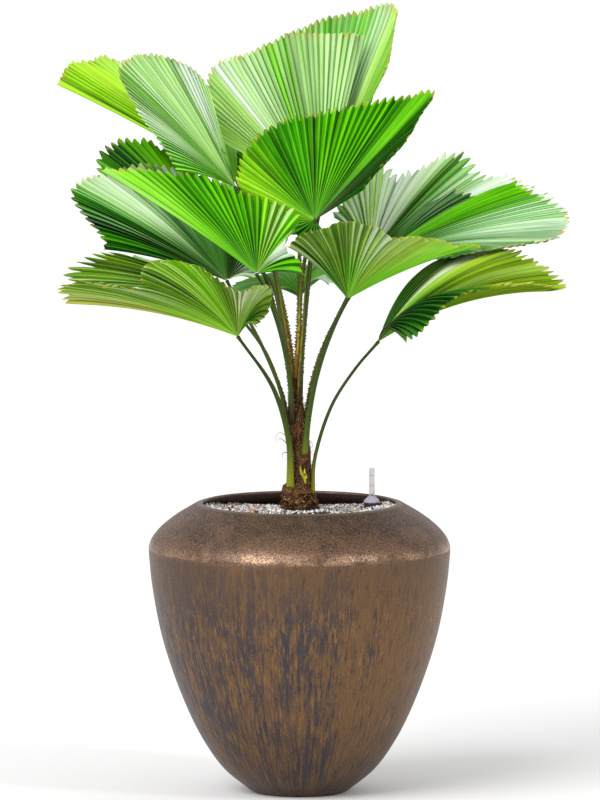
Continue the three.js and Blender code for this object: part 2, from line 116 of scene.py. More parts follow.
# Each leaf in millimetres, as in the solids but for the ribs of low_left_back: where its stalk passes,
# its hub, the tips of its main ribs from the hub, and how far these arch. The rest is numbered by those ribs,
# with parts between them. Tones: the rib, the greens at the hub and at the edge, and how much painted sheen
# the lit sides have. Folds: the rib, the half width in pleats and the strength of a fold, which sinks in and
# is darkened with painted shade. Teeth: the first and last rib of a stretch where the teeth differ, and how
# many times as deep they are there.
LEAVES = {
    "low_left_front": {
        "stalk": [(-15, -16, 512), (-17.5, -22, 591), (-42.5, -45, 680)],
        "hub": (-102, -110, 776),
        "ribs": [(-285, -20, 56), (-300, -50, 90), (-247, -100, 100), (-167, -120, 96), (-163, -100, 128),
                 (-117, -150, 143), (-77, -175, 137), (-30, -180, 116), (5, -165, 94), (32, -120, 99),
                 (53, -90, 86), (50, -70, 45), (30, -50, 21)],
        "arch": (0, 0, 14),
        "tones": [(0, "olive", "straw", 0.2), (1, "lime", "olive", 0.4), (2.3, "lime", "olive", 0.4),
                  (3.4, "lime", "olive", 0.5), (4.5, "lime", "lime", 0.4), (6, "lime", "lime", 0.45),
                  (6.8, "olive", "olive", 0.5), (8.2, "olive", "chalk", 0.55), (9, "olive", "olive", 0.5),
                  (10, "vivid", "olive", 0.35), (12, "vivid", "olive", 0.2)],
        "folds": [(1.6, 1, 0.4), (4.6, 0.5, 0.3), (5.3, 0.4, 0.35), (8.6, 0.5, 0.6), (10.9, 0.5, 0.4)],
        "teeth": [(0, 3.2, 2.6), (4, 6.4, 1.4), (8.6, 12, 0.6)],
    },
    "low_left_back": {
        "stalk": [(-16, -7, 600), (-29, -8, 665), (-59, -10, 744)],
        "hub": (-124, -10, 827),
        "ribs": [(-246, 0, 20), (-270, 10, 40), (-240, 20, 66), (-197, 28, 76), (-143, 34, 62),
                 (-80, 34, 44)],
        "arch": (0, 0, 10),
        "tones": [(0, "olive", "olive", 0.5), (1.4, "moss", "olive", 0.4), (2.6, "moss", "gold", 0.2),
                  (4, "dark", "deep", 0.5), (5, "dark", "deep", 0.6)],
        "folds": [(1.7, 0.5, 0.35), (2.7, 0.7, 0.55), (4.4, 0.8, 0.7)],
        "teeth": [(0, 1, 2), (1, 3.4, 4), (3.4, 5, 1.5)],
    },
    "left_front": {
        "stalk": [(-11, -13, 620), (-17.5, -25, 703), (-34, -46, 782), (-57.5, -76, 851)],
        "hub": (-71, -90, 878),
        "ribs": [(-260, 10, 174), (-237, 30, 176), (-192, 50, 171), (-130, 60, 163), (-77, 60, 157),
                 (-23, 50, 133), (22, 40, 122), (73, 20, 98), (57, 0, 66), (53, -30, 47), (72, -45, 28),
                 (79, -55, 4)],
        "arch": (0, 0, 6),
        "tones": [(0, "vivid", "bright", 0.25), (1.2, "vivid", "bright", 0.2), (2.4, "vivid", "vivid", 0.05),
                  (5, "vivid", "vivid", 0.04), (5.8, "vivid", "bright", 0.06),
                  (6.4, "olive", "olive", 0.5), (6.9, "vivid", "bright", 0.2),
                  (8.2, "vivid", "bright", 0.3), (8.7, "chalk", "silver", 0.7),
                  (9.4, "mint", "silver", 0.9), (9.7, "vivid", "vivid", 0.1), (11, "vivid", "vivid", 0.15)],
        "folds": [(2.5, 0.5, 0.3), (4.3, 0.5, 0.45), (5.1, 0.5, 0.5), (5.6, 0.4, 0.45), (7.5, 0.5, 0.4),
                  (8.35, 0.6, 0.6), (9.6, 0.4, 0.7)],
        "teeth": [(0, 12, 1.25)],
    },
    "left_middle": {
        "stalk": [(-17, 8, 612), (-30, 16, 668), (-62, 32, 744)],
        "hub": (-121, 60, 851),
        "ribs": [(-205, 0, 54), (-215, 10, 77), (-238, 20, 102), (-263, 30, 143), (-248, 50, 164),
                 (-215, 80, 171), (-162, 100, 183), (-103, 120, 181), (-37, 110, 145), (10, 80, 110),
                 (45, 35, 66), (62, 5, 25), (46, -10, 3)],
        "arch": (0, 0, 8),
        "tones": [(0, "dark", "deep", 0.1), (1.2, "dark", "vivid", 0.1), (1.8, "dark", "deep", 0.3),
                  (2.6, "deep", "deep", 0.35), (3.2, "deep", "vivid", 0.6), (3.8, "deep", "mint", 0.7),
                  (5, "deep", "mint", 0.7), (5.6, "deep", "deep", 0.35), (8, "deep", "deep", 0.25),
                  (9.5, "dark", "deep", 0.3), (10.8, "dark", "deep", 0.6), (12, "mint", "mint", 0.9)],
        "folds": [(1.9, 0.8, 0.8), (2.9, 0.6, 0.7), (4.3, 0.4, 0.5), (5.8, 0.6, 0.6), (9, 0.7, 0.6),
                  (11.3, 0.5, 0.6)],
        "teeth": [(0, 3, 1.4), (3, 6, 1)],
    },
    "left_back": {
        "stalk": [(-13, 13, 655), (-17, 19, 724), (-30, 40, 788), (-52, 68, 855)],
        "hub": (-116, 120, 878),
        "ribs": [(-223, 40, 133), (-223, 60, 173), (-190, 80, 197), (-153, 100, 194), (-110, 120, 172),
                 (-75, 140, 147), (-25, 150, 104)],
        "arch": (0, 0, 8),
        "tones": [(0, "deep", "mint", 0.6), (0.8, "deep", "bright", 0.5), (1.5, "deep", "deep", 0.15),
                  (2.4, "deep", "vivid", 0.05), (6, "deep", "vivid", 0.05)],
        "folds": [(1.2, 0.5, 0.6), (2.2, 0.6, 0.6), (4, 0.6, 0.5)],
        "teeth": [(0, 3, 1.6), (3, 7, 1.1)],
    },
    "top_left_front": {
        "stalk": [(-13, 3, 676), (-16, 6, 724), (-29, 10, 800), (-48, 28, 890)],
        "hub": (-107, 80, 1006),
        "ribs": [(-98, -30, 30), (-122, -25, 68), (-147, -30, 107), (-182, -52, 165), (-195, -50, 202),
                 (-157, 25, 221), (-118, 45, 216), (-73, 40, 197), (-50, 35, 167), (-47, 25, 106),
                 (-22, 10, 58)],
        "arch": (0, 0, 6),
        "tones": [(0, "vivid", "bright", 0.4), (1, "bright", "bright", 0.45), (2.4, "bright", "mint", 0.7),
                  (3, "bright", "mint", 0.6), (3.5, "bright", "mint", 0.8), (4.1, "mint", "mint", 0.8),
                  (4.5, "mint", "mint", 0.3), (5.8, "mint", "mint", 0.35), (6.1, "vivid", "mint", 0.4),
                  (6.5, "mint", "silver", 0.8), (7, "mint", "silver", 0.5), (7.4, "mint", "mint", 0.3),
                  (9.4, "bright", "mint", 0.5), (10, "vivid", "mint", 0.6)],
        "folds": [(1.2, 0.4, 0.4), (2.2, 0.45, 0.5), (3.15, 0.4, 0.4), (5.05, 0.4, 0.4), (6, 0.5, 0.65),
                  (6.9, 0.35, 0.35), (8.3, 0.4, 0.4)],
        "teeth": [(0, 4.2, 1.6), (4.2, 10, 0.8)],
    },
    "top_left_back": {
        "stalk": [(-10, 20, 640), (-13, 30, 722), (-28, 60, 812), (-50, 95, 890)],
        "hub": (-104, 150, 1008),
        "ribs": [(-302, -20, 166), (-285, 20, 194), (-253, 60, 201), (-217, 90, 200), (-137, 130, 161),
                 (-70, 140, 118), (-3, 130, 69)],
        "arch": (0, 0, 6),
        "tones": [(0, "bright", "lime", 0.1), (1.5, "bright", "lime", 0.12), (2.6, "lime", "lime", 0.2),
                  (3.6, "bright", "mint", 0.5), (6, "bright", "bright", 0.3)],
        "folds": [(0.25, 0.5, 0.4), (1.4, 0.4, 0.3), (3, 0.4, 0.3)],
        "teeth": [(0, 7, 0.9)],
    },
    "top_front": {
        "stalk": [(-2, -11, 655), (3, -10, 730), (7, -6, 780), (13, -1, 860)],
        "hub": (26, 5, 959),
        "ribs": [(22, -16, -28), (2, -26, -44), (-38, -25, -27), (-88, -20, 15), (-130, -10, 58),
                 (-130, 20, 80), (-120, 50, 110), (-86, 70, 143), (-45, 75, 164), (-3, 75, 172),
                 (42, 80, 182), (102, 80, 194), (160, 70, 202), (202, 40, 211), (170, 20, 162),
                 (140, 0, 122), (82, -20, 56)],
        "arch": (0, 0, 0),
        "tones": [(0, "deep", "deep", 0.1), (2, "deep", "deep", 0.1), (2.5, "vivid", "vivid", 0.1),
                  (3.4, "lime", "lime", 0.1), (5.4, "bright", "lime", 0.1),
                  (7.2, "vivid", "vivid", 0.06), (9, "vivid", "vivid", 0.03),
                  (10.6, "vivid", "vivid", 0.03), (13, "deep", "vivid", 0.02),
                  (13.5, "deep", "vivid", 0.05), (14, "dark", "deep", 0), (16, "dark", "deep", 0)],
        "folds": [(6.1, 0.4, 0.45), (7.3, 0.6, 0.5), (8.95, 0.6, 0.75), (10.05, 0.4, 0.5), (11.6, 0.5, 0.5),
                  (13.2, 0.7, 0.7)],
        "teeth": [(0, 3, 1.2)],
    },
    "top_young": {
        "stalk": [(1, 8, 668), (4, 12, 730), (10, 22, 800), (20, 50, 890)],
        "hub": (37, 95, 984),
        "ribs": [(-65, 110, 269), (-30, 95, 272), (13, 90, 271), (50, 95, 271), (75, 110, 265)],
        "arch": (0, 0, 0),
        "tones": [(0, "bright", "mint", 0.4), (1, "mint", "mint", 0.5), (2.4, "mint", "mint", 0.4),
                  (4, "mint", "mint", 0.4)],
        "folds": [(0.35, 0.5, 0.35), (1.15, 0.4, 0.2), (2.9, 0.35, 0.2)],
        "teeth": [(0, 5, 0.45)],
    },
    "top_back": {
        "stalk": [(-5, 2, 690), (-4, 5, 725), (-1, 14, 775), (4, 45, 858)],
        "hub": (31, 135, 986),
        "ribs": [(-177, 10, 102), (-187, 40, 138), (-188, 60, 178), (-178, 80, 211), (-127, 120, 229),
                 (-75, 140, 249), (-2, 150, 280), (60, 140, 299), (127, 100, 314), (133, 60, 287),
                 (118, 30, 222), (90, 20, 159)],
        "arch": (0, 0, 0),
        "tones": [(0, "fresh", "fresh", 0.5), (0.8, "fresh", "fresh", 0.7), (1.8, "fresh", "fresh", 0.85),
                  (2.7, "fresh", "fresh", 0.9), (3, "fresh", "silver", 0.8), (3.3, "fresh", "mint", 0.6),
                  (4.5, "bright", "mint", 0.5), (4.85, "bright", "bright", 0.2), (5, "mint", "mint", 0.5),
                  (5.2, "vivid", "bright", 0.2), (5.4, "mint", "mint", 0.5), (6.2, "mint", "bright", 0.6),
                  (7.6, "mint", "bright", 0.5), (7.8, "vivid", "mint", 0.6), (8, "vivid", "mint", 0.7),
                  (8.2, "fresh", "lime", 0.4), (9.6, "fresh", "fresh", 0.45), (11, "fresh", "lime", 0.4)],
        "folds": [(1.3, 0.4, 0.2), (2.2, 0.4, 0.2), (3.9, 0.4, 0.15), (9.2, 0.4, 0.15)],
        "teeth": [(0, 3, 1.1), (3, 7, 0.8)],
    },
    "right_front": {
        "stalk": [(8, -15, 567), (14, -21, 625), (27, -38, 697), (49, -68, 771)],
        "hub": (80, -110, 839),
        "ribs": [(-99, -150, 100), (-84, -160, 123), (-46, -185, 138), (-3, -190, 147), (41, -185, 139),
                 (76, -165, 124), (111, -150, 120), (177, -90, 101), (219, -40, 96), (204, 0, 85)],
        "arch": (0, 0, 10),
        "tones": [(0, "vivid", "olive", 0.45), (1, "vivid", "olive", 0.55), (2, "olive", "olive", 0.6),
                  (3, "bright", "olive", 0.45), (4, "bright", "olive", 0.4), (4.8, "bright", "olive", 0.4),
                  (5.6, "olive", "olive", 0.4), (6.4, "vivid", "olive", 0.2), (7, "vivid", "bright", 0.15),
                  (9, "vivid", "vivid", 0.1)],
        "folds": [(0.6, 0.5, 0.5), (1.6, 0.4, 0.45), (2.5, 0.4, 0.35), (3.6, 0.4, 0.3), (5.2, 0.4, 0.3),
                  (6.2, 0.4, 0.3)],
        "teeth": [(0, 7, 0.85)],
    },
    "right_middle": {
        "stalk": [(11, 4, 585), (15.5, 8, 625), (29, 16, 695), (52, 27, 764), (82, 38, 824)],
        "hub": (142, 50, 900),
        "ribs": [(60, 55, 62), (92, 60, 82), (120, 60, 95), (158, 60, 90), (217, 50, 113), (253, 20, 97),
                 (307, -10, 66), (302, -40, 42), (267, -60, 22), (190, -70, 13), (108, -60, 0)],
        "arch": (0, 0, 8),
        "tones": [(0, "dark", "deep", 0.3), (1, "deep", "deep", 0.4), (2.6, "deep", "deep", 0.4),
                  (3.3, "deep", "vivid", 0.35), (3.7, "vivid", "vivid", 0.04), (4.9, "vivid", "vivid", 0.04),
                  (5.3, "deep", "vivid", 0.45), (6.2, "deep", "vivid", 0.5), (7, "deep", "deep", 0.6),
                  (8, "deep", "vivid", 0.6), (8.6, "dark", "deep", 0.4), (10, "dark", "deep", 0.1)],
        "folds": [(1.5, 0.6, 0.5), (2.7, 0.6, 0.5), (3.6, 0.5, 0.4), (5.1, 0.5, 0.5), (7.4, 0.5, 0.7),
                  (8.4, 0.6, 0.7)],
        "teeth": [(3, 10, 1.5)],
    },
    "right_back": {
        "stalk": [(9.5, 17, 575), (15, 22, 625), (28, 40, 692), (50, 66, 758), (80, 98, 820)],
        "hub": (119, 130, 886),
        "ribs": [(-62, 90, 56), (-43, 110, 95), (20, 120, 136), (48, 130, 121), (97, 120, 145),
                 (156, 100, 165), (188, 90, 128), (238, 60, 126), (278, 30, 111), (318, 0, 87),
                 (330, -30, 74)],
        "arch": (0, 0, 8),
        "tones": [(0, "vivid", "vivid", 0.7), (0.8, "vivid", "fresh", 0.9), (1.6, "fresh", "fresh", 1),
                  (2.4, "silver", "fresh", 1), (3.1, "silver", "silver", 1), (4.4, "silver", "fresh", 1),
                  (5.2, "deep", "vivid", 0.4), (6, "deep", "bright", 0.5), (7, "vivid", "silver", 0.8),
                  (8.4, "bright", "silver", 0.9), (10, "vivid", "silver", 0.9)],
        "folds": [(0.5, 0.6, 0.7), (1.3, 0.4, 0.5), (2.9, 0.5, 0.5), (3.7, 0.4, 0.7), (4.3, 0.4, 0.6),
                  (5, 0.8, 0.8), (6.4, 0.6, 0.5), (7.7, 0.4, 0.4)],
        "teeth": [(0, 2, 1.2), (2, 10, 2.2)],
    },
    "low_right": {
        "stalk": [(22, -4, 500), (24.5, -6, 556), (52.5, -14, 648), (91, -26, 711)],
        "hub": (131, -40, 760),
        "ribs": [(103, 90, 127), (147, 90, 138), (187, 80, 142), (223, 40, 149), (258, 10, 137),
                 (285, -20, 126), (313, -60, 96), (235, -105, 106), (155, -128, 98), (125, -132, 82),
                 (106, -132, 64), (88, -135, 44), (70, -132, 24), (45, -112, 10)],
        "arch": (-8, 0, 24),
        "tones": [(0, "deep", "moss", 0.1), (1.3, "deep", "moss", 0.1), (1.7, "deep", "chalk", 0.4),
                  (2.3, "olive", "chalk", 0.4), (2.8, "vivid", "gold", 0.2), (3.7, "deep", "gold", 0.2),
                  (4.1, "dark", "gold", 0.1), (4.8, "vivid", "gold", 0.2), (6, "vivid", "gold", 0.1),
                  (7.3, "vivid", "gold", 0.1), (7.8, "moss", "deep", 0.1), (9.5, "moss", "deep", 0.1),
                  (12, "moss", "deep", 0.15), (13, "moss", "moss", 0.1)],
        "folds": [(1.5, 0.7, 0.6), (2.6, 0.4, 0.4), (3.5, 0.5, 0.4), (4.2, 0.7, 0.6), (5.3, 0.4, 0.3),
                  (7.7, 0.6, 0.6), (9, 0.5, 0.4)],
        "teeth": [(0, 2.4, 1.8), (2.4, 6.6, 2.6), (6.6, 13, 1.5)],
    },
    "back_low": {
        "stalk": [(-3, 20, 592), (-4, 34, 660), (-2, 66, 745)],
        "hub": (0, 110, 818),
        "ribs": [(-52, 10, -8), (-115, 90, -10), (-90, 190, 5), (0, 230, 25), (90, 190, 32), (105, 90, 36),
                 (50, 10, 20)],
        "arch": (0, 0, 20),
        "tones": [(0, "deep", "vivid", 0.6), (2, "vivid", "vivid", 0.3), (4, "vivid", "bright", 0.3),
                  (6, "deep", "vivid", 0.6)],
        "folds": [(1, 0.5, 0.4), (3.5, 0.5, 0.4), (5, 0.5, 0.4)],
        "teeth": [],
    },
    "back_left": {
        "stalk": [(-12, 19, 560), (-17, 36, 690), (-34, 66, 776), (-55, 95, 846)],
        "hub": (-80, 190, 890),
        "ribs": [(-150, 20, -20), (-200, 80, 40), (-150, 180, 80), (-60, 230, 90), (40, 210, 70),
                 (80, 130, 30)],
        "arch": (0, 0, 16),
        "tones": [(0, "deep", "vivid", 0.3), (2.4, "vivid", "bright", 0.3), (5, "vivid", "olive", 0.3)],
        "folds": [(1.5, 0.6, 0.5), (3.4, 0.5, 0.4)],
        "teeth": [(1, 4, 1.5)],
    },
    "back_right": {
        "stalk": [(4, 23, 545), (10, 36, 620), (24, 62, 692), (49, 100, 757)],
        "hub": (110, 180, 858),
        "ribs": [(-40, 60, 30), (10, 200, 90), (120, 220, 100), (210, 130, 80), (240, 30, 40),
                 (170, -30, 10)],
        "arch": (0, 0, 16),
        "tones": [(0, "deep", "vivid", 0.3), (2, "vivid", "bright", 0.35), (3.6, "deep", "mint", 0.6),
                  (5, "deep", "vivid", 0.4)],
        "folds": [(1.2, 0.5, 0.4), (2.6, 0.6, 0.5)],
        "teeth": [(1, 4, 1.5)],
    },
    "back_top": {
        "stalk": [(-2, 20, 650), (-1, 40, 740), (0, 90, 850)],
        "hub": (0, 190, 960),
        "ribs": [(-160, 60, 60), (-150, 140, 150), (-60, 200, 200), (40, 210, 200), (108, 160, 135),
                 (110, 70, 55)],
        "arch": (0, 0, 0),
        "tones": [(0, "vivid", "bright", 0.2), (2.5, "bright", "lime", 0.2), (5, "vivid", "bright", 0.3)],
        "folds": [(1.6, 0.5, 0.4), (3.3, 0.5, 0.4)],
        "teeth": [],
    },
}


def srgb(red, green, blue):
    """A colour as a person reads it off a screen, 0 to 255, as the linear value that Blender works in."""
    shares = [channel / 255 for channel in (red, green, blue)]
    return tuple(c / 12.92 if c <= 0.04045 else ((c + 0.055) / 1.055) ** 2.4 for c in shares)


def colour_property(name, description, red, green, blue):
    return FloatVectorProperty(name=name, description=description, subtype="COLOR", size=3,
                               min=0, max=1, default=srgb(red, green, blue))


def length_property(name, description, millimetres):
    return FloatProperty(name=name, description=description, subtype="DISTANCE", unit="LENGTH",
                         min=0, default=millimetres * MM)


class PotSettings(bpy.types.PropertyGroup):
    """The pot's finish."""

    bronze: colour_property("Bronze", "The glaze's main colour", 98, 73, 52)
    ochre: colour_property("Ochre", "The golden streaks", 113, 83, 52)
    slate: colour_property("Slate", "The blue-grey streaks", 62, 56, 60)
    speck: colour_property("Speck", "The fine dark specks", 50, 39, 37)
    shoulder: colour_property("Shoulder", "The speckled shoulder", 106, 79, 63)
    # The copper also stands for the painted highlight along the crease
    copper_and_highlight: colour_property("Copper", "The glaze worn bright along the crease", 182, 148, 116)
    lip_colour: colour_property("Lip Colour", "The rounded rim", 124, 108, 96)
    inside: colour_property("Inside", "The wall inside the rim", 112, 88, 80)
    lip: length_property("Lip", "How wide the rounded rim is", 7)
    crease: length_property("Crease", "How high the crease between belly and shoulder is", 411.5)
    turns: IntProperty(name="Turns", description="Steps round the pot", min=24, default=180)


class GravelSettings(bpy.types.PropertyGroup):
    """The gravel and the soil under it."""

    pitch: length_property("Pitch", "The distance from one pebble to the next", 5.3)
    pebble: length_property("Pebble", "A pebble's usual radius", 2.75)
    reach: length_property("Reach", "How far from the pot's axis the pebbles lie", 183)
    white: colour_property("White", "The palest pebbles", 240, 236, 232)
    pink: colour_property("Pink", "The pinkish pebbles", 196, 158, 138)
    blue: colour_property("Blue", "The bluish pebbles", 150, 172, 184)
    grey: colour_property("Grey", "The darker pebbles", 70, 58, 52)
    gap: colour_property("Gap", "The shaded bed between the pebbles", 58, 46, 40)
    soil: colour_property("Soil", "The potting soil", 62, 46, 34)
    soil_shade: colour_property("Soil Shade", "The soil's darker grains", 34, 24, 18)


class GaugeSettings(bpy.types.PropertyGroup):
    """The water level gauge."""

    tube_radius: length_property("Tube Radius", "The tube's outer radius", 4.7)
    tube_length: length_property("Tube Length", "How far the tube stands out of the bell", 46.5)
    bell_radius: length_property("Bell Radius", "The bell's radius at its foot", 13.5)
    bell_height: length_property("Bell Height", "The clear bell's height", 10.5)
    base_height: length_property("Base Height", "The dark base's height", 13)
    clear: colour_property("Clear", "The clear tube", 226, 225, 230)
    lilac: colour_property("Lilac", "The clear bell", 202, 197, 214)
    dark: colour_property("Dark", "The base's plastic", 52, 40, 50)
    yellow: colour_property("Yellow", "The two upper marks", 222, 190, 60)
    red: colour_property("Red", "The lowest mark", 176, 52, 40)


class TrunkSettings(bpy.types.PropertyGroup):
    """The fibrous trunk."""

    bark: colour_property("Bark", "The trunk under its fibres", 56, 36, 24)
    fibre: colour_property("Fibre", "The usual fibre", 116, 80, 50)
    rust: colour_property("Rust", "The reddish fibre", 146, 92, 48)
    husk: colour_property("Husk", "The palest fibre", 190, 150, 100)
    shoot: colour_property("Shoot", "The young shoot on the trunk", 206, 206, 60)
    hugging: IntProperty(name="Hugging", description="Fibres that lie along the trunk", min=0, default=1300)
    tangled: IntProperty(name="Tangled", description="Fibres in the tangle at its foot", min=0, default=900)
    loose: IntProperty(name="Loose", description="Fibres whose ends stand off", min=0, default=60)


class StalkSettings(bpy.types.PropertyGroup):
    """The leaf stalks."""

    outer: colour_property("Outer", "The stalk's outer side", 60, 84, 20)
    shaded: colour_property("Shaded", "The stalk's darkest green", 42, 66, 20)
    inner: colour_property("Inner", "The stalk's inner side", 206, 168, 50)
    foot: colour_property("Foot", "The pale foot of the stalk", 146, 150, 34)
    blotch: colour_property("Blotch", "The brown blotches", 50, 26, 12)
    spine: colour_property("Spine", "The spines along its edges", 96, 66, 26)
    spine_length: length_property("Spine Length", "How far a spine stands out", 4)
    spine_gap: length_property("Spine Gap", "From one spine to the next", 5.2)


class BladeSettings(bpy.types.PropertyGroup):
    """The pleated blades."""

    pleat_width: length_property("Pleat Width", "A pleat's width at the blade's edge", 15.5)
    pleat_depth: length_property("Pleat Depth", "How far a ridge stands above the middle there", 3.1)
    tooth: length_property("Tooth", "How far the edge is cut back between two ridges", 10)
    ruffle: length_property("Ruffle", "How far the blade waves up and down at its edge", 5)
    thickness: length_property("Thickness", "The blade's thickness", 0.9)
    vivid: colour_property("Vivid", "The usual green", 108, 196, 0)
    bright: colour_property("Bright", "Young bright green", 146, 222, 24)
    lime: colour_property("Lime", "Yellow-green", 184, 234, 50)
    mint: colour_property("Mint", "Pale green", 182, 226, 136)
    fresh: colour_property("Fresh", "The palest yellow-green", 214, 250, 146)
    # The whitest painted sheen on the lit sides of the pleats, which some leaves also have as a painted tone
    silver: colour_property("Silver", "The bloom where it is whitest", 238, 250, 236)
    moss: colour_property("Moss", "Dark olive green", 58, 100, 16)
    deep: colour_property("Deep", "Dark green", 54, 134, 8)
    dark: colour_property("Dark", "The darkest green", 26, 90, 14)
    olive: colour_property("Olive", "Olive green", 158, 196, 44)
    gold: colour_property("Gold", "Olive turning yellow", 150, 184, 16)
    chalk: colour_property("Chalk", "Chalky olive", 196, 210, 150)
    straw: colour_property("Straw", "Yellowed tips", 204, 204, 96)
    dried: colour_property("Dried", "Dried spots along the edge", 186, 158, 62)


class StageSettings(bpy.types.PropertyGroup):
    """The floor, the lights and the camera."""

    floor: FloatVectorProperty(name="Floor", description="The floor's colour", subtype="COLOR", size=3,
                               min=0, max=1, default=(0.86, 0.86, 0.86))
    camera_distance: FloatProperty(name="Camera Distance", description="From the camera to the plant",
                                   unit="LENGTH", min=1, default=26)
    sky: FloatProperty(name="Sky", description="Strength of the light from all round", min=0, default=0.78)
    key: FloatProperty(name="Key", description="Strength of the main light", min=0, default=2.3)
    fill: FloatProperty(name="Fill", description="Strength of the light from the right", min=0,
                        default=0.5)


def deselect():
    """Leaves nothing selected, because an operator acts on all that is."""
    bpy.ops.object.select_all(action="DESELECT")


def pick(piece):
    """Leaves one piece selected, and active."""
    deselect()
    piece.select_set(True)
    bpy.context.view_layer.objects.active = piece


def keep(piece, name, slot, *nodes):
    """Names a finished piece, ties it to the plant, and hides the solids that it stands for."""
    piece.name = name
    piece.data.name = name
    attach(piece, "root")
    if nodes:
        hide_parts(*nodes)
    return piece


def coat(piece, *skins):
    """Gives a piece its materials, in the place of any that it has."""
    piece.data.materials.clear()
    for skin in skins:
        piece.data.materials.append(skin)


def close_up(piece):
    """Joins a sheet's meeting edges and turns all its faces outwards."""
    pick(piece)
    bpy.ops.object.mode_set(mode="EDIT")
    bpy.ops.mesh.select_all(action="SELECT")
    bpy.ops.mesh.remove_doubles(threshold=MERGE_DISTANCE)
    bpy.ops.mesh.normals_make_consistent(inside=False)
    bpy.ops.object.mode_set(mode="OBJECT")


def thicken(piece, thickness, **values):
    """Gives a sheet its thickness."""
    pick(piece)
    wall = piece.modifiers.new("Thickness", "SOLIDIFY")
    wall.thickness = thickness
    for key, value in values.items():
        setattr(wall, key, value)
    bpy.ops.object.modifier_apply(modifier=wall.name)


def smooth(piece, angle=180):
    """Shades a piece smooth, but for edges sharper than an angle in degrees."""
    pick(piece)
    bpy.ops.object.shade_smooth_by_angle(angle=math.radians(angle))


def sheet_through(points):
    """A grid whose vertices are moved on to a table of points, columns by rows. Also gives each vertex's
    column and row."""
    columns = points.shape[0] - 1
    rows = points.shape[1] - 1
    deselect()
    bpy.ops.mesh.primitive_grid_add(x_subdivisions=columns, y_subdivisions=rows, size=1)
    piece = bpy.context.object
    flat = np.empty(len(piece.data.vertices) * 3)
    piece.data.vertices.foreach_get("co", flat)
    spots = flat.reshape(-1, 3)
    column = np.rint((spots[:, 0] + 0.5) * columns).astype(int)
    row = np.rint((spots[:, 1] + 0.5) * rows).astype(int)
    piece.data.vertices.foreach_set("co", points[column, row].ravel())
    piece.data.update()
    return piece, column, row


def set_map(piece, across, along):
    """Writes each vertex's place across and along a sheet into its UV map."""
    corners = np.empty(len(piece.data.loops), int)
    piece.data.loops.foreach_get("vertex_index", corners)
    piece.data.uv_layers[0].data.foreach_set("uv", np.stack([across[corners], along[corners]], -1).ravel())


def set_tint(piece, colours):
    """Stores a colour for each vertex, and as its fourth value how much the material adds of painted sheen on
    a blade and of brown blotch on a stalk.
    """
    tint = piece.data.color_attributes.new("tint", "FLOAT_COLOR", "POINT")
    tint.data.foreach_set("color", colours.ravel())


def unit(vectors):
    """The same directions, at a length of one."""
    return vectors / np.maximum(np.linalg.norm(vectors, axis=-1, keepdims=True), 1e-12)


def between(wanted, places, rows):
    """The rows of a table, read at places between them."""
    return np.stack([np.interp(wanted, places, column) for column in np.transpose(rows)], -1)


def rise(value, low, high):
    """How far a value has come from low to high, from 0 to 1."""
    return np.clip((value - low) / (high - low), 0, 1)


def leaf_random(name, extra=0):
    """A source of chance values that are the same for a leaf each time."""
    return np.random.default_rng(sum(map(ord, name)) + extra)


def mesh_piece(name, points, faces, kinds, materials):
    """A smooth mesh from its points and faces, with a material's number for each face."""
    mesh = bpy.data.meshes.new(name)
    mesh.from_pydata(points.tolist(), [], faces)
    piece = bpy.data.objects.new(name, mesh)
    coat(piece, *materials)
    mesh.polygons.foreach_set("material_index", kinds)
    mesh.polygons.foreach_set("use_smooth", np.ones(len(faces), bool))
    bpy.context.scene.collection.objects.link(piece)
    return piece


def placement(axes, spot):
    """The matrix that gives a small shape its three axes, as columns, and its place."""
    matrix = np.eye(4)
    matrix[:3, :3] = axes
    matrix[:3, 3] = spot
    return matrix


def turned(outline, steps):
    """A round solid: its outline, from the axis round to the axis, is drawn by extruding and then spun."""
    deselect()
    bpy.ops.mesh.primitive_plane_add(size=MM)
    piece = bpy.context.object
    bpy.ops.object.mode_set(mode="EDIT")
    bpy.ops.mesh.select_all(action="SELECT")
    bpy.ops.mesh.merge(type="CENTER")
    spots = [Vector((radius * MM, 0, height * MM)) for radius, height in outline]
    bpy.ops.transform.translate(value=spots[0])
    for before, after in zip(spots, spots[1:]):
        bpy.ops.mesh.extrude_vertices_move(TRANSFORM_OT_translate={"value": after - before})
    bpy.ops.mesh.select_all(action="SELECT")
    bpy.ops.mesh.spin(steps=steps, angle=math.tau, center=(0, 0, 0), axis=(0, 0, 1))
    bpy.ops.object.mode_set(mode="OBJECT")
    close_up(piece)
    return piece


def joined(name, points, faces, places, kinds, materials):
    """Many copies of one small shape as one mesh: a matrix and a material's number for each copy."""
    spots = np.concatenate([points, np.ones((len(points), 1))], 1)
    moved = np.einsum("nij,pj->npi", places, spots)[..., :3].reshape(-1, 3)
    shift = np.arange(len(places))[:, None, None] * len(points)
    corners = (faces[None] + shift).reshape(-1, faces.shape[1])
    return mesh_piece(name, moved, corners.tolist(), np.repeat(kinds, len(faces)), materials)


# The share of its radius that a fibre loses towards its end
FIBRE_TAPER = 0.75


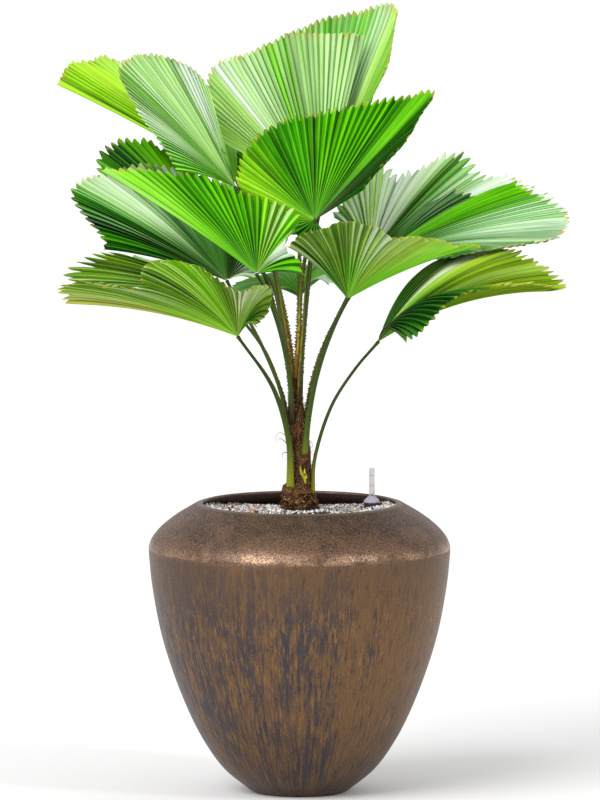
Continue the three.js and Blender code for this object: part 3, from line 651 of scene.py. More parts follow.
def strands(name, paths, radii, kinds, materials, sides=3):
    """Many thin fibres as one mesh. Each is a tapering tube along its own path of points."""
    count, length, _ = paths.shape
    ahead = unit(np.gradient(paths, axis=1))
    steep = np.abs(ahead[..., 2:3]) > 0.9
    side = unit(np.cross(ahead, np.where(steep, [1.0, 0, 0], [0, 0, 1.0])))
    other = np.cross(ahead, side)
    reach = (radii[:, None] * (1 - FIBRE_TAPER * np.linspace(0, 1, length) ** 2))[..., None]
    rings = []
    for edge in range(sides):
        turn = math.tau * edge / sides
        rings.append(paths + reach * (side * math.cos(turn) + other * math.sin(turn)))
    spots = np.stack(rings, 2).reshape(-1, 3)
    tube = []
    for low in range(0, (length - 1) * sides, sides):
        high = low + sides
        for edge in range(sides):
            after = (edge + 1) % sides
            tube.append((low + edge, low + after, high + after, high + edge))
    last = (length - 1) * sides
    tube += [tuple(range(sides))[::-1], tuple(range(last, last + sides))]
    faces = []
    for shift in range(0, count * length * sides, length * sides):
        faces.extend(tuple(corner + shift for corner in face) for face in tube)
    return mesh_piece(name, spots, faces, np.repeat(kinds, len(tube)), materials)


# Steps of a smooth curve between two of the points that it passes
CURVE_STEPS = 40


def smooth_curve(points):
    """The smooth curve through a few points, as the solids have it, and the way to each of its steps."""
    knots = np.array(points, float)
    knots = np.concatenate([[2 * knots[0] - knots[1]], knots, [2 * knots[-1] - knots[-2]]])
    gaps = np.linalg.norm(np.diff(knots, axis=0), axis=1) ** 0.5
    steps = np.linspace(0, 1, CURVE_STEPS, endpoint=False)[:, None]
    curve = []
    for k in range(1, len(knots) - 2):
        a, b, c, d = knots[k - 1:k + 3]
        before, here, after = gaps[k - 1:k + 2]
        leave = ((b - a) / before - (c - a) / (before + here) + (c - b) / here) * here
        arrive = ((c - b) / here - (d - b) / (here + after) + (d - c) / after) * here
        cubic = 2 * b - 2 * c + leave + arrive
        square = -3 * b + 3 * c - 2 * leave - arrive
        curve.append(b + leave * steps + square * steps ** 2 + cubic * steps ** 3)
    curve = np.concatenate([*curve, knots[-2:-1]])
    return curve, np.concatenate([[0], np.cumsum(np.linalg.norm(np.diff(curve, axis=0), axis=1))])


def through(points, count):
    """Equally spaced points on the smooth curve through a few points."""
    curve, travelled = smooth_curve(points)
    return between(np.linspace(0, travelled[-1], count), travelled, curve)


def dimmed(colour, share):
    """A colour made darker, or brighter where the share is over one."""
    return tuple(channel * share for channel in colour)


def curve_length(points):
    """How long the smooth curve through a few points is."""
    return smooth_curve(points)[1][-1]


class Shader:
    """A material's node tree, with short calls for the nodes that the finishes share."""

    def __init__(self, name):
        self.material = bpy.data.materials.new(name)
        self.material.use_nodes = True
        self.tree = self.material.node_tree
        self.surface = self.tree.nodes["Principled BSDF"]

    def node(self, kind, **values):
        made = self.tree.nodes.new(kind)
        for key, value in values.items():
            setattr(made, key, value)
        return made

    def link(self, source, socket):
        """Joins a socket to a node's output, or sets it to a plain colour or number."""
        if isinstance(source, bpy.types.NodeSocket):
            self.tree.links.new(source, socket)
        elif socket.type == "RGBA":
            socket.default_value = (*source[:3], 1)
        else:
            socket.default_value = source

    def math(self, operation, *sources):
        made = self.node("ShaderNodeMath", operation=operation)
        for source, socket in zip(sources, made.inputs):
            self.link(source, socket)
        return made.outputs[0]

    def times(self, first, second):
        return self.math("MULTIPLY", first, second)

    def mix(self, share, first, second, blend="MIX"):
        made = self.node("ShaderNodeMix", data_type="RGBA", blend_type=blend)
        self.link(share, made.inputs[0])
        self.link(first, made.inputs[6])
        self.link(second, made.inputs[7])
        return made.outputs[2]

    def stretch(self, vector, scale):
        made = self.node("ShaderNodeMapping")
        self.link(vector, made.inputs["Vector"])
        made.inputs["Scale"].default_value = scale
        return made.outputs[0]

    def place(self):
        return self.node("ShaderNodeTexCoord").outputs["Object"]

    def parts(self, vector):
        """The three numbers of a vector."""
        made = self.node("ShaderNodeSeparateXYZ")
        self.link(vector, made.inputs[0])
        return made.outputs

    def stored(self, name):
        """What the mesh stores for each vertex under a name."""
        return self.node("ShaderNodeAttribute", attribute_name=name).outputs

    def noise(self, vector, scale, detail=3.0, roughness=0.5):
        made = self.node("ShaderNodeTexNoise")
        self.link(vector, made.inputs["Vector"])
        made.inputs["Scale"].default_value = scale
        made.inputs["Detail"].default_value = detail
        made.inputs["Roughness"].default_value = roughness
        return made.outputs[0]

    def ramp(self, value, low, high, bottom=0.0, top=1.0):
        """A smooth rise from bottom to top as value goes from low to high."""
        made = self.node("ShaderNodeMapRange", interpolation_type="SMOOTHSTEP")
        sources = (value, low, high, bottom, top)
        for source, socket in zip(sources, made.inputs):
            self.link(source, socket)
        return made.outputs[0]

    def deepened(self, colour, power, brightness):
        """The same colour darker and fuller."""
        made = self.node("ShaderNodeGamma")
        self.link(colour, made.inputs[0])
        made.inputs[1].default_value = power
        return self.mix(1.0, made.outputs[0], (brightness,) * 3, "MULTIPLY")

    def bump(self, height, strength, distance):
        made = self.node("ShaderNodeBump")
        made.inputs["Strength"].default_value = strength
        made.inputs["Distance"].default_value = distance
        self.link(height, made.inputs["Height"])
        self.link(made.outputs[0], self.surface.inputs["Normal"])

    def finish(self, colour, roughness, metallic=0.0, specular=0.5):
        """Sets how the surface looks, and gives the finished material."""
        self.link(colour, self.surface.inputs["Base Color"])
        self.link(roughness, self.surface.inputs["Roughness"])
        self.surface.inputs["Metallic"].default_value = metallic
        self.surface.inputs["Specular IOR Level"].default_value = specular
        return self.material


# How wide the pleats and teeth of single leaves are, as a share of the usual width, and those of all others
PLEAT_SIZES = {"top_left_front": 0.68, "top_left_back": 0.62, "top_young": 0.7, "top_back": 0.72,
               "right_middle": 0.8, "low_right": 0.85, "left_front": 1.05}
OTHER_PLEAT_SIZE = 0.92


# How many pleats one unit of a blade's UV map stands for
MAP_PLEATS = 64


def blade_finish(name, shift, settings):
    """A leaf's skin. Each pleat has a side painted lit, with a painted sheen, and a side painted in shade,
    with a pale rib on its ridge, painted shade deepening into a dark line in its valley and fine veins
    between them. On the back, ridge and valley change places. Parts of the edge are dried."""
    shader = Shader(name)
    spot = shader.node("ShaderNodeUVMap", uv_map="UVMap").outputs[0]
    across, out, _ = shader.parts(spot)
    fold = shader.math("FRACT", shader.math("MULTIPLY_ADD", across, MAP_PLEATS, shift))
    from_ridge = shader.math("ABSOLUTE", shader.math("SUBTRACT", fold, 0.5))
    line = shader.math("MINIMUM", 0.2, shader.math("DIVIDE", 0.05, out))
    rib = shader.math("SUBTRACT", 1, shader.ramp(from_ridge, 0, line))
    valley = shader.ramp(from_ridge, shader.math("SUBTRACT", 0.5, line), 0.5)
    tint = shader.stored("tint")
    # Painted light and shade: the side of each pleat that faces the light is painted lit, the other side
    # darker
    side = shader.times(shader.ramp(fold, 0.47, 0.53, -1, 1), shader.stored("facing")["Fac"])
    lit = shader.ramp(side, -0.7, 0.7)
    broad = shader.noise(shader.stretch(spot, (MAP_PLEATS * 0.9, 2.4, 1)), 1.0, 3.0)
    streak = shader.noise(shader.stretch(spot, (MAP_PLEATS * 4, 2.6, 1)), 1.0, 3.0)
    veins = shader.noise(shader.stretch(spot, (MAP_PLEATS * 14, 2, 1)), 1.0, 2.0)
    mottle = shader.noise(shader.place(), 260, 4.0, 0.6)
    tone = tint["Color"]
    colour = shader.mix(shader.ramp(broad, 0.35, 0.65, 0.5, 0), tone, shader.deepened(tone, 1.5, 0.7))
    shade = shader.math("SUBTRACT", 1, lit)
    colour = shader.mix(shade, colour, shader.deepened(colour, 1.65, 0.72))
    # Painted shade, deepening towards each valley
    colour = shader.mix(shader.ramp(from_ridge, 0.26, 0.5, 0, 0.5), colour, shader.deepened(colour, 1.5, 0.5))
    # Painted sheen: the lit sides of the pleats are painted towards silver in streaks
    painted_sheen = shader.times(shader.ramp(tint["Alpha"], 0.04, 0.9), shader.ramp(streak, 0.3, 0.62, 0.45, 1))
    colour = shader.mix(shader.times(painted_sheen, lit), colour, settings.silver)
    colour = shader.mix(shader.ramp(veins, 0.35, 0.68, 0.3, 0), colour, (0.4, 0.55, 0.35), "MULTIPLY")
    colour = shader.mix(shader.ramp(mottle, 0.56, 0.74, 0, 0.2), colour, (0.85, 0.9, 0.35), "MULTIPLY")
    # Painted shade: a dark line in each valley
    colour = shader.mix(shader.times(valley, 0.85), colour, (0.14, 0.32, 0.12), "MULTIPLY")
    colour = shader.mix(shader.times(rib, 0.14), colour, (0.56, 0.72, 0.3))
    patchy = shader.ramp(shader.noise(shader.place(), 70, 3.0, 0.6), 0.5, 0.62, 0, 0.75)
    dried = shader.times(shader.ramp(out, 0.95, 0.995), patchy)
    colour = shader.mix(dried, colour, settings.dried)
    shader.bump(shader.math("ADD", shader.times(veins, 0.5), shader.times(rib, 0.8)), 0.5, 0.6 * MM)
    return shader.finish(colour, shader.ramp(veins, 0.3, 0.7, 0.36, 0.5), specular=0.05)


# A blade's grid: how many columns a pleat has, and how many rows there are from the hub to the edge
COLUMNS_PER_PLEAT = 6
BLADE_ROWS = 24

# How far a fold sinks in, and how far a pleat's tip may curl up or down, in millimetres
FOLD_DEPTH = 2.5
TIP_CURL = 3.5

# How steeply a tooth narrows, and how far its tip may lean to one side, in pleats
TOOTH_SHAPE = 1.5
TOOTH_LEAN = 0.22

# The shares of the way out at which the ruffles and the curl of the tips begin, between which a blade's inner
# tone gives way to its outer one, and past which its tips are yellowed
RUFFLE_START = 0.35
CURL_START = 0.86
TONES_START = 0.08
TONES_END = 0.7
YELLOW_START = 0.95

# How the back's colours differ from the face's: how bright they are, the share of olive that is added, and
# how much of the painted sheen is left
BACK_BRIGHTNESS = 0.72
BACK_OLIVE = 0.12
BACK_PAINTED_SHEEN = 0.7

# How far a pleat's ridge lies off its middle, in pleats
PLEAT_LEAN = 0.19

# How much the painted light and shade of the two sides of a pleat differ, as a share of the usual, on leaves
# where it is less
PLEAT_CONTRAST = {"top_young": 0.3, "top_back": 0.5}

# Where most of the light comes from: by it one side of each pleat is painted lit and the other painted in
# shade, and each pleat is wider on its lit side
LIGHT_FROM = (-0.36, -0.68, 0.64)


class Pleats:
    """How a blade's pleats lie along its edge. Each grid column has a place in pleats, and each pleat has its
    own small differences."""

    def __init__(self, name, leaf, settings):
        self.leaf = leaf
        self.random = leaf_random(name)
        self.size = PLEAT_SIZES.get(name, OTHER_PLEAT_SIZE)
        travelled = smooth_curve(leaf["ribs"])[1]
        self.count = round(travelled[-1] * MM / settings.pleat_width / self.size)
        self.columns = self.count * COLUMNS_PER_PLEAT
        self.place = np.linspace(0, self.count, self.columns + 1)
        self.number = np.minimum(self.place.astype(int), self.count - 1)
        self.fold = 1 - 2 * np.abs(self.place % 1 - 0.5)
        self.ribs = travelled[::CURVE_STEPS] / travelled[-1] * self.count

    def at_rib(self, rib):
        """The place of a rib, or of a part between two ribs."""
        return np.interp(rib, range(len(self.ribs)), self.ribs)

    def leaned(self, points, facing):
        """The columns moved along the edge, so that each pleat is wider on the side that faces the light."""
        lit = np.array([facing[self.number == k].mean() for k in range(self.count)])
        lean = PLEAT_LEAN * lit[self.number]
        part = self.place - self.number
        ridge = 0.5 - lean
        moved = self.number + np.where(part < 0.5, part * ridge * 2, ridge + (part - 0.5) * 2 * (1 - ridge))
        return between(moved, self.place, points)

    def own(self, low, high):
        """A chance value for each pleat, given to all its columns."""
        return self.random.uniform(low, high, self.count)[self.number]

    def dips(self):
        """How deep in one of the leaf's folds each column lies, from 0 to 1. The folds sink in and take
        painted shade.
        """
        depth = np.zeros(len(self.place))
        for rib, half, strength in self.leaf["folds"]:
            near = np.exp(-((self.place - self.at_rib(rib)) / half) ** 2)
            depth = np.maximum(depth, near * strength)
        return depth


def blade_starts(leaf, ribs, reach):
    """How far out each column starts, as a share of its ray: clear of the knuckle, and beside the stalk."""
    stalk_side = unit(np.subtract(leaf["stalk"][-1], leaf["hub"]))
    backwards = np.clip((ribs / reach[:, None]) @ stalk_side, 0, 0.98)
    beside = (STALK_TIP_RADIUS + 1) / np.sqrt(1 - backwards ** 2)
    return np.maximum(KNUCKLE_RADIUS * 0.9, np.where(backwards > 0, beside, 0)) * MM / reach


def blade_ends(pleats, reach, settings):
    """How far out each column ends, as a share of its ray: cut back to the rib between its leaflets."""
    cut = settings.tooth * pleats.size * pleats.own(0.75, 1.25)
    for first, last, times in pleats.leaf["teeth"]:
        inside = (pleats.place >= pleats.at_rib(first)) & (pleats.place <= pleats.at_rib(last))
        uneven = pleats.own(1 - 0.12 * times, 1 + 0.06 * times)
        cut = np.where(inside, cut * times * uneven, cut)
    edge = np.minimum(pleats.place, pleats.count - pleats.place)
    cut *= np.clip(edge * 2, 0, 1)
    lean = pleats.own(-TOOTH_LEAN, TOOTH_LEAN)
    tooth = (1 - np.clip(pleats.fold + lean * np.sin(math.tau * pleats.place), 0, 1)) ** TOOTH_SHAPE
    return 1 - np.minimum(cut, reach * 0.5) / reach * tooth


def blade_lift(pleats, way, settings):
    """How far the blade stands off its plain form, in metres: its pleats, folds, ruffles and curled tips."""
    depth = settings.pleat_depth * pleats.size * pleats.own(0.8, 1.2)
    lift = (depth * (2 * pleats.fold - 1))[:, None] * way ** 0.85
    lift = lift - FOLD_DEPTH * MM * pleats.dips()[:, None] * way
    turn = pleats.place / pleats.count * math.tau
    waves = pleats.random.uniform(0, math.tau, 2)
    ruffle = np.sin(turn * 3 + waves[0]) + 0.6 * np.sin(turn * 7 + waves[1])
    lift = lift + settings.ruffle * ruffle[:, None] * 1.3 * np.clip(way - RUFFLE_START, 0, 1) ** 2
    curl = pleats.own(-TIP_CURL, TIP_CURL) * MM * pleats.fold
    return lift + curl[:, None] * rise(way, CURL_START, 1) ** 2


def blade_surface(pleats, settings):
    """The blade as a table of points in metres, how far out along its ray each is, and how much the right
    side of the pleat there faces the light, from -1 to 1."""
    leaf = pleats.leaf
    ribs = through(leaf["ribs"], pleats.columns + 1) * MM
    edgewise = unit(np.gradient(ribs, axis=0))
    ribs = pleats.leaned(ribs, np.tanh(4 * edgewise @ np.array(LIGHT_FROM)))
    reach = np.linalg.norm(ribs, axis=1)
    start = blade_starts(leaf, ribs, reach)
    end = blade_ends(pleats, reach, settings)
    way = np.linspace(0, 1, BLADE_ROWS + 1)
    way = start[:, None] + (end - start)[:, None] * (1 - (1 - way[None]) ** 1.15)
    arch = np.array(leaf["arch"]) * MM
    rays = ribs[:, None] * way[..., None] + arch * (4 * way * (1 - way))[..., None]
    across = np.gradient(rays, axis=0)
    normal = unit(np.cross(across, np.gradient(rays, axis=1)))
    points = np.array(leaf["hub"]) * MM + rays + normal * blade_lift(pleats, way, settings)[..., None]
    return points, way, np.tanh(6 * unit(across) @ np.array(LIGHT_FROM))


def blade_tones(pleats, way, settings):
    """The painted greens of a blade with their painted sheen, first for its face and then for its back."""
    tones = pleats.leaf["tones"]
    stops = [pleats.at_rib(tone[0]) for tone in tones]
    wander = pleats.place + pleats.own(-0.35, 0.35)
    inner = between(wander, stops, [tuple(getattr(settings, tone[1])) for tone in tones])[:, None]
    outer = between(wander, stops, [tuple(getattr(settings, tone[2])) for tone in tones])[:, None]
    shine = between(wander, stops, [(tone[3],) for tone in tones])
    out = rise(way, TONES_START, TONES_END)
    out = out * out * (3 - 2 * out)
    colour = (inner + (outer - inner) * out[..., None]) * pleats.own(1, 1.18)[:, None, None]
    painted_sheen = shine * pleats.own(0.55, 1.2)[:, None] * (0.3 + 0.7 * out)
    tip = rise(way, YELLOW_START, 1) * pleats.own(0, 0.7)[:, None]
    colour = colour + (np.array(settings.straw) - colour) * tip[..., None]
    # Painted shade in the folds, weaker towards the edge
    dip = pleats.dips()[:, None] * np.clip(1.25 - 0.6 * way, 0, 1)
    colour = colour + (np.array(settings.dark) * 0.7 - colour) * dip[..., None]
    painted_sheen = np.clip(painted_sheen * (1 - dip), 0, 1)[..., None]
    face = np.concatenate([colour, painted_sheen], -1)
    dull = colour * BACK_BRIGHTNESS + np.array(settings.olive) * BACK_OLIVE
    return face, np.concatenate([dull, painted_sheen * BACK_PAINTED_SHEEN], -1)


def make_blade(name, leaf, settings, skins):
    """A blade is a pleated sheet with a face and a back, painted by the leaf's own tones."""
    pleats = Pleats(name, leaf, settings)
    points, way, facing = blade_surface(pleats, settings)
    face, back = blade_tones(pleats, way, settings)
    piece, column, row = sheet_through(points)
    set_map(piece, pleats.place[column] / MAP_PLEATS, way[column, row])
    coat(piece, *skins)
    count = len(piece.data.vertices)
    thicken(piece, settings.thickness, offset=0, material_offset=1)
    if len(piece.data.vertices) != count * 2:
        raise RuntimeError(f"{name} has {len(piece.data.vertices)} vertices and not {count * 2}")
    set_tint(piece, np.concatenate([face[column, row], back[column, row]]))
    # How strongly each side of a pleat is painted lit or in shade, for the material
    lit = np.tile(facing[column, row], 2) * PLEAT_CONTRAST.get(name, 1)
    piece.data.attributes.new("facing", "FLOAT", "POINT").data.foreach_set("value", lit)
    smooth(piece, 24)
    return keep(piece, f"leaf_{name}", "leaf_blade", f"blade_{name}")


def stalk_path(name, leaf):
    """The stalk's middle line, its radius and the frame across it, in metres, from foot to knuckle, and how
    far along it each of its points is, from 0 to 1."""
    points = [*leaf["stalk"], leaf["hub"]]
    count = max(LEAST_RINGS, round(curve_length(points) / RING_GAP))
    middle = through(points, count) * MM
    share = np.linspace(0, 1, count)
    base = STALK_BASE_RADII.get(name, STALK_BASE_RADIUS)
    radius = base + (STALK_TIP_RADIUS - base) * np.minimum(1, share / STALK_TAPER_END)
    ahead = unit(np.gradient(middle, axis=0))
    outwards = middle[-1] - middle[0]
    inner = -unit(np.array([outwards[0], outwards[1], 0]))
    inner = unit(inner - (ahead @ inner)[:, None] * ahead)
    return middle, radius * MM, ahead, inner, np.cross(ahead, inner), share


# A stalk's grid: how many sides it has, how far apart its rings are in millimetres, and the least that it has
STALK_SIDES = 16
RING_GAP = 5
LEAST_RINGS = 24

# How much wider a stalk is at its foot and how deep the channel on its inner side is, both as shares of its
# radius, and the share of its length at which it swells to the knuckle
STALK_FLARE = 0.1
CHANNEL_DEPTH = 0.22
KNUCKLE_START = 0.97

# The shares of a stalk's length between which its green darkens, and between which its strip turns from
# yellow to pale green
DARKENING = (0.133, 0.8)
TURNING = (0.156, 0.469)

# How far round to the inner side the strip and its blotches lie, as cosines: where they begin and where they
# are full
STRIP_SIDE = (0.559, 0.853)
BLOTCH_SIDE = (0.367, 0.7)

# The stalks whose feet show pale green where they come out of the trunk, how fast that green fades and its
# strength. The others come out of brown sheaths, with the same two values for their brown.
GREEN_FEET = {"low_left_front": (6, 0.85), "right_front": (10, 0.35), "low_right": (6, 0.8)}
OTHER_FEET = (8, 0.85)


def stalk_finish(settings):
    """A stalk's skin: its painted colours with brown blotches where the paint leaves room, and a fine
    grain."""
    shader = Shader("leaf stalk")
    painted = shader.stored("tint")
    grain = shader.noise(shader.stretch(shader.place(), (420, 420, 30)), 1.0, 3.0)
    spots = shader.noise(shader.stretch(shader.place(), (1, 1, 0.7)), 210, 0.5)
    specks = shader.noise(shader.place(), 420, 2.0)
    blotch = shader.times(painted["Alpha"], shader.ramp(spots, 0.47, 0.52))
    colour = shader.mix(blotch, painted["Color"], settings.blotch)
    colour = shader.mix(shader.ramp(grain, 0.4, 0.7, 0, 0.45), colour, (0.5, 0.56, 0.4), "MULTIPLY")
    colour = shader.mix(shader.ramp(specks, 0.6, 0.74, 0, 0.3), colour, (0.3, 0.22, 0.1))
    shader.bump(grain, 0.35, 0.6 * MM)
    return shader.finish(colour, shader.ramp(grain, 0.3, 0.7, 0.36, 0.52), specular=0.15)


def stalk_colours(name, turn, share, settings):
    """The paint of a stalk: green, darker higher up, with a strip on its inner side that is yellow low down
    and pale green and faint higher up, room for brown blotches low on that side, and a foot that is pale
    green or brown."""
    random = leaf_random(name, 7)
    paints = (settings.outer, settings.shaded, settings.inner, settings.foot)
    outer, shaded, inner, pale = (np.array(paint) for paint in paints)
    outer = outer * random.uniform(0.85, 1.15)
    colour = outer + (shaded - outer) * rise(share, *DARKENING)[None, :, None] * 0.8
    strip = inner + (pale - inner) * rise(share, *TURNING)[:, None]
    shown = rise(np.cos(turn), *STRIP_SIDE)[:, None] * np.clip(1.05 - share, 0.25, 1)[None]
    colour = colour + (strip[None] - colour) * shown[..., None]
    blotched = rise(np.cos(turn), *BLOTCH_SIDE)[:, None] * np.clip(1.15 - share * 2.4, 0.08, 1)[None]
    fading, strength = GREEN_FEET.get(name, OTHER_FEET)
    low = np.exp(-(share * fading) ** 2)
    end = np.array(settings.foot if name in GREEN_FEET else settings.blotch)
    colour = colour + (end - colour) * (low * strength)[None, :, None]
    return np.concatenate([colour, (blotched * (1 - low[None]))[..., None]], -1)


def make_stalk(name, leaf, settings, skin):
    """A stalk is a tube with a shallow channel on its inner side and a knuckle at the hub."""
    middle, radius, ahead, inner, side, share = stalk_path(name, leaf)
    foot = np.exp(-(share * 9) ** 2)
    hub = rise(share, KNUCKLE_START, 1)
    radius = radius * (1 + STALK_FLARE * foot) * (1 - hub) + KNUCKLE_RADIUS * MM * hub
    middle = np.concatenate([middle[:1], middle, middle[-1:] + ahead[-1:] * KNUCKLE_RADIUS * MM])
    inner, side = (np.concatenate([lines[:1], lines, lines[-1:]]) for lines in (inner, side))
    radius = np.concatenate([[0], radius, [0]])
    share = np.concatenate([[0], share, [1]])
    turn = np.linspace(0, math.tau, STALK_SIDES + 1)
    reach = radius[None] * (1 - CHANNEL_DEPTH * np.clip(np.cos(turn), 0, 1) ** 3)[:, None]
    around = np.cos(turn)[:, None, None] * inner[None] + np.sin(turn)[:, None, None] * side[None]
    piece, column, row = sheet_through(middle[None] + reach[..., None] * around)
    set_tint(piece, stalk_colours(name, turn, share, settings)[column, row])
    coat(piece, skin)
    close_up(piece)
    smooth(piece)
    return keep(piece, f"stalk_of_{name}", "leaf_stalk", f"stalk_{name}")


# A spine is a small four-sided hook: its foot and its tip, in spine lengths along, out and across
SPINE_POINTS = np.array([(-0.5, 0, -0.25), (0.5, 0, -0.25), (0.5, 0, 0.25), (-0.5, 0, 0.25), (0.35, 1, 0)])
SPINE_FACES = [(0, 1, 4), (1, 2, 4), (2, 3, 4), (3, 0, 4)]

# The shares of a stalk's length between which it has spines
SPINE_START = 0.1
SPINE_END = 0.8


def spine_places(name, leaf, settings):
    """The matrix of each spine on the two edges of a stalk. They are smaller the higher they stand."""
    middle, radius, ahead, inner, side, share = stalk_path(name, leaf)
    random = leaf_random(name, 11)
    length = np.linalg.norm(np.diff(middle, axis=0), axis=1).sum()
    places = []
    for edge in (-1, 1):
        spots = np.arange(SPINE_START, SPINE_END, settings.spine_gap / length)
        spots = spots + random.uniform(-0.3, 0.3, len(spots)) * settings.spine_gap / length
        for spot in spots:
            k = min(len(share) - 1, int(spot * (len(share) - 1)))
            out = side[k] * edge * 0.97 + inner[k] * 0.25
            size = settings.spine_length * random.uniform(0.7, 1.2) * (1.15 - 0.9 * spot)
            axes = np.array([ahead[k], out, np.cross(ahead[k], out)]).T * size
            at = between(spot, share, middle) + out * np.interp(spot, share, radius) * 0.9
            places.append(placement(axes, at))
    return places


def make_spines(settings):
    """The spines of all the stalks as one mesh."""
    shader = Shader("spine")
    mottle = shader.ramp(shader.noise(shader.place(), 700), 0.4, 0.6)
    skin = shader.finish(shader.mix(mottle, settings.spine, settings.blotch), 0.55)
    places = [place for name, leaf in LEAVES.items() for place in spine_places(name, leaf, settings)]
    kinds = np.zeros(len(places), int)
    piece = joined("stalk_spines", SPINE_POINTS, np.array(SPINE_FACES), np.array(places), kinds, [skin])
    return keep(piece, "stalk_spines", "leaf_stalk")


def fibre_finish(name, colour):
    """A dull finish streaked along the trunk."""
    shader = Shader(name)
    streak = shader.noise(shader.stretch(shader.place(), (500, 500, 60)), 1.0, 3.0)
    tone = shader.mix(shader.ramp(streak, 0.3, 0.7), colour, dimmed(colour, 0.4))
    shader.bump(streak, 0.5, 0.8 * MM)
    return shader.finish(tone, 0.85, specular=0.2)


def trunk_at(height):
    """The trunk's middle and half widths at a height, all in millimetres."""
    heights, *shape = zip(*TRUNK_RINGS)
    return [np.interp(height, heights, values) for values in shape]


def on_trunk(height, turn, off):
    """A point on the trunk, at a height and a turn round it, and off its surface, in metres."""
    x, y, width, depth = trunk_at(height)
    return np.stack([x + np.cos(turn) * (width + off), y + np.sin(turn) * (depth + off), height], -1) * MM


# The grid of the trunk, round it and up it
TRUNK_COLUMNS = 72
TRUNK_ROWS = 90

# The ridges round the trunk: how many there are, with their sign for the side to which they lean, how far one
# turns with each millimetre of height, and how far they stand out in millimetres
TRUNK_RIDGES = [(3, 0.11, 0.9), (-2, 0.17, 0.7)]

# How rough the trunk is, and how far it lies in under its fibres and at its two ends, in millimetres
TRUNK_ROUGHNESS = 1.6
TRUNK_INSET = 1.2
TRUNK_END_INSET = 2.0


def make_trunk_core(settings):
    """The trunk under its fibres: old leaf bases wrapped round each other, as ridges that lean both ways."""
    turn = np.linspace(0, math.tau, TRUNK_COLUMNS + 1)[:, None]
    height = np.linspace(TRUNK_RINGS[0][0], TRUNK_RINGS[-1][0], TRUNK_ROWS + 1)[None]
    ridges = sum(np.sin(turn * count + height * lean) * out for count, lean, out in TRUNK_RIDGES)
    rough = np.array([[noise.fractal(Vector((math.cos(a) * 2.2, math.sin(a) * 2.2, h * 0.055)), 1, 2, 5)
                       for h in height[0]] for a in turn[:, 0]])
    rough[-1] = rough[0]
    off = ridges + rough * TRUNK_ROUGHNESS - TRUNK_INSET
    at_end = (height <= TRUNK_RINGS[0][0]) | (height >= TRUNK_RINGS[-1][0])
    off = np.where(at_end, -TRUNK_END_INSET, off)
    height, turn = np.broadcast_arrays(height, turn)
    points = on_trunk(height, turn, off)
    low = points[:, :1].mean(0, keepdims=True).repeat(len(points), 0)
    high = points[:, -1:].mean(0, keepdims=True).repeat(len(points), 0)
    piece, _, _ = sheet_through(np.concatenate([low, points, high], 1))
    coat(piece, fibre_finish("trunk bark", settings.bark))
    close_up(piece)
    smooth(piece)
    return keep(piece, "trunk_core", "trunk_fibre", "trunk")


# Between which heights the fibres' feet stand, in millimetres: those that hug the trunk, with the height that
# none of them passes, those of the tangle at its foot, and the loose ones
HUGGING_FEET = (500, 668)
HUGGING_TOP = 690
TANGLED_FEET = (467, 502)
LOOSE_FEET = (472, 640)


def chances(random, count):
    """Gives each fibre of a bunch a chance value of its own, between two limits."""
    return lambda low, high: random.uniform(low, high, (count, 1))


def hugging_paths(settings, random):
    """Fibres that run up the trunk close to its surface, leaning a little to one side or the other."""
    chance = chances(random, settings.hugging)
    share = np.linspace(0, 1, 8)[None]
    foot = chance(*HUGGING_FEET)
    height = np.minimum(foot + chance(10, 40) * share, HUGGING_TOP)
    turn = chance(0, math.tau) + chance(-0.7, 1.6) * share
    turn = turn + 0.08 * np.sin(share * 9 + chance(0, 6))
    off = chance(0.1, 1.7) + chance(0, 2.2) ** 2 * share ** 3
    return on_trunk(height, turn, off)


def tangled_paths(settings, random):
    """Fibres and rootlets matted round the trunk's foot, running every way, some of them astray."""
    chance = chances(random, settings.tangled)
    share = np.linspace(0, 1, 8)[None]
    turn = chance(0, math.tau) + chance(-0.9, 0.9) * share
    top = TANGLED_FEET[1] - 8 * np.cos(turn) + 3 * np.sin(turn * 5) + 2 * np.sin(turn * 11)
    height = chance(*TANGLED_FEET) + chance(-14, 14) * share
    height = height + 2 * np.sin(share * 8 + chance(0, 6))
    height = np.clip(height, GRAVEL_HEIGHT + 0.8, top)
    off = chance(-2.6, 0.6) + 1.5 * np.sin(share * 7 + chance(0, 6))
    off = off + 2 * np.sin(turn * 4 + height * 0.2) + 1.2 * np.sin(turn * 9 - height * 0.3)
    stray = chance(0, 1) > 0.93
    off = off + stray * chance(1, 5) * np.sin(share * math.pi)
    return on_trunk(height, turn, off)


# Fibres that curl away from the trunk where the photograph shows them, in millimetres
CURLS = [
    [(-14, -10, 584), (-24, -13, 600), (-34, -15, 605), (-40, -16, 596), (-38, -16, 586)],
    [(-15, -12, 578), (-25, -14, 590), (-33, -15, 595), (-37, -15, 588)],
    [(-16, -10, 566), (-24, -13, 572), (-29, -14, 568), (-27, -14, 560)],
    [(-17, -9, 556), (-23, -12, 560), (-26, -13, 552)],
    [(13, -9, 580), (19, -12, 588), (22, -13, 584), (20, -13, 577)],
    [(12, -8, 618), (18, -11, 624), (25, -12, 626)],
    [(8, 8, 632), (14, 12, 646), (17, 13, 652)],
    [(-10, 14, 590), (-18, 24, 604), (-24, 28, 598)],
    [(12, 16, 560), (22, 26, 570), (26, 28, 562)],
]


def loose_paths(settings, random):
    """Single fibres that curl away from the trunk."""
    chance = chances(random, settings.loose)
    steps = 14
    share = np.linspace(0, 1, steps)[None]
    foot = chance(*LOOSE_FEET)
    height = foot + chance(-4, 20) * share - 9 * share ** 3
    turn = chance(0, math.tau) + chance(-0.5, 0.5) * share
    off = 0.5 + chance(3, 12) * share ** 1.6
    curls = np.array([through(curl, steps) for curl in CURLS]) * MM
    return np.concatenate([on_trunk(height, turn, off), curls])


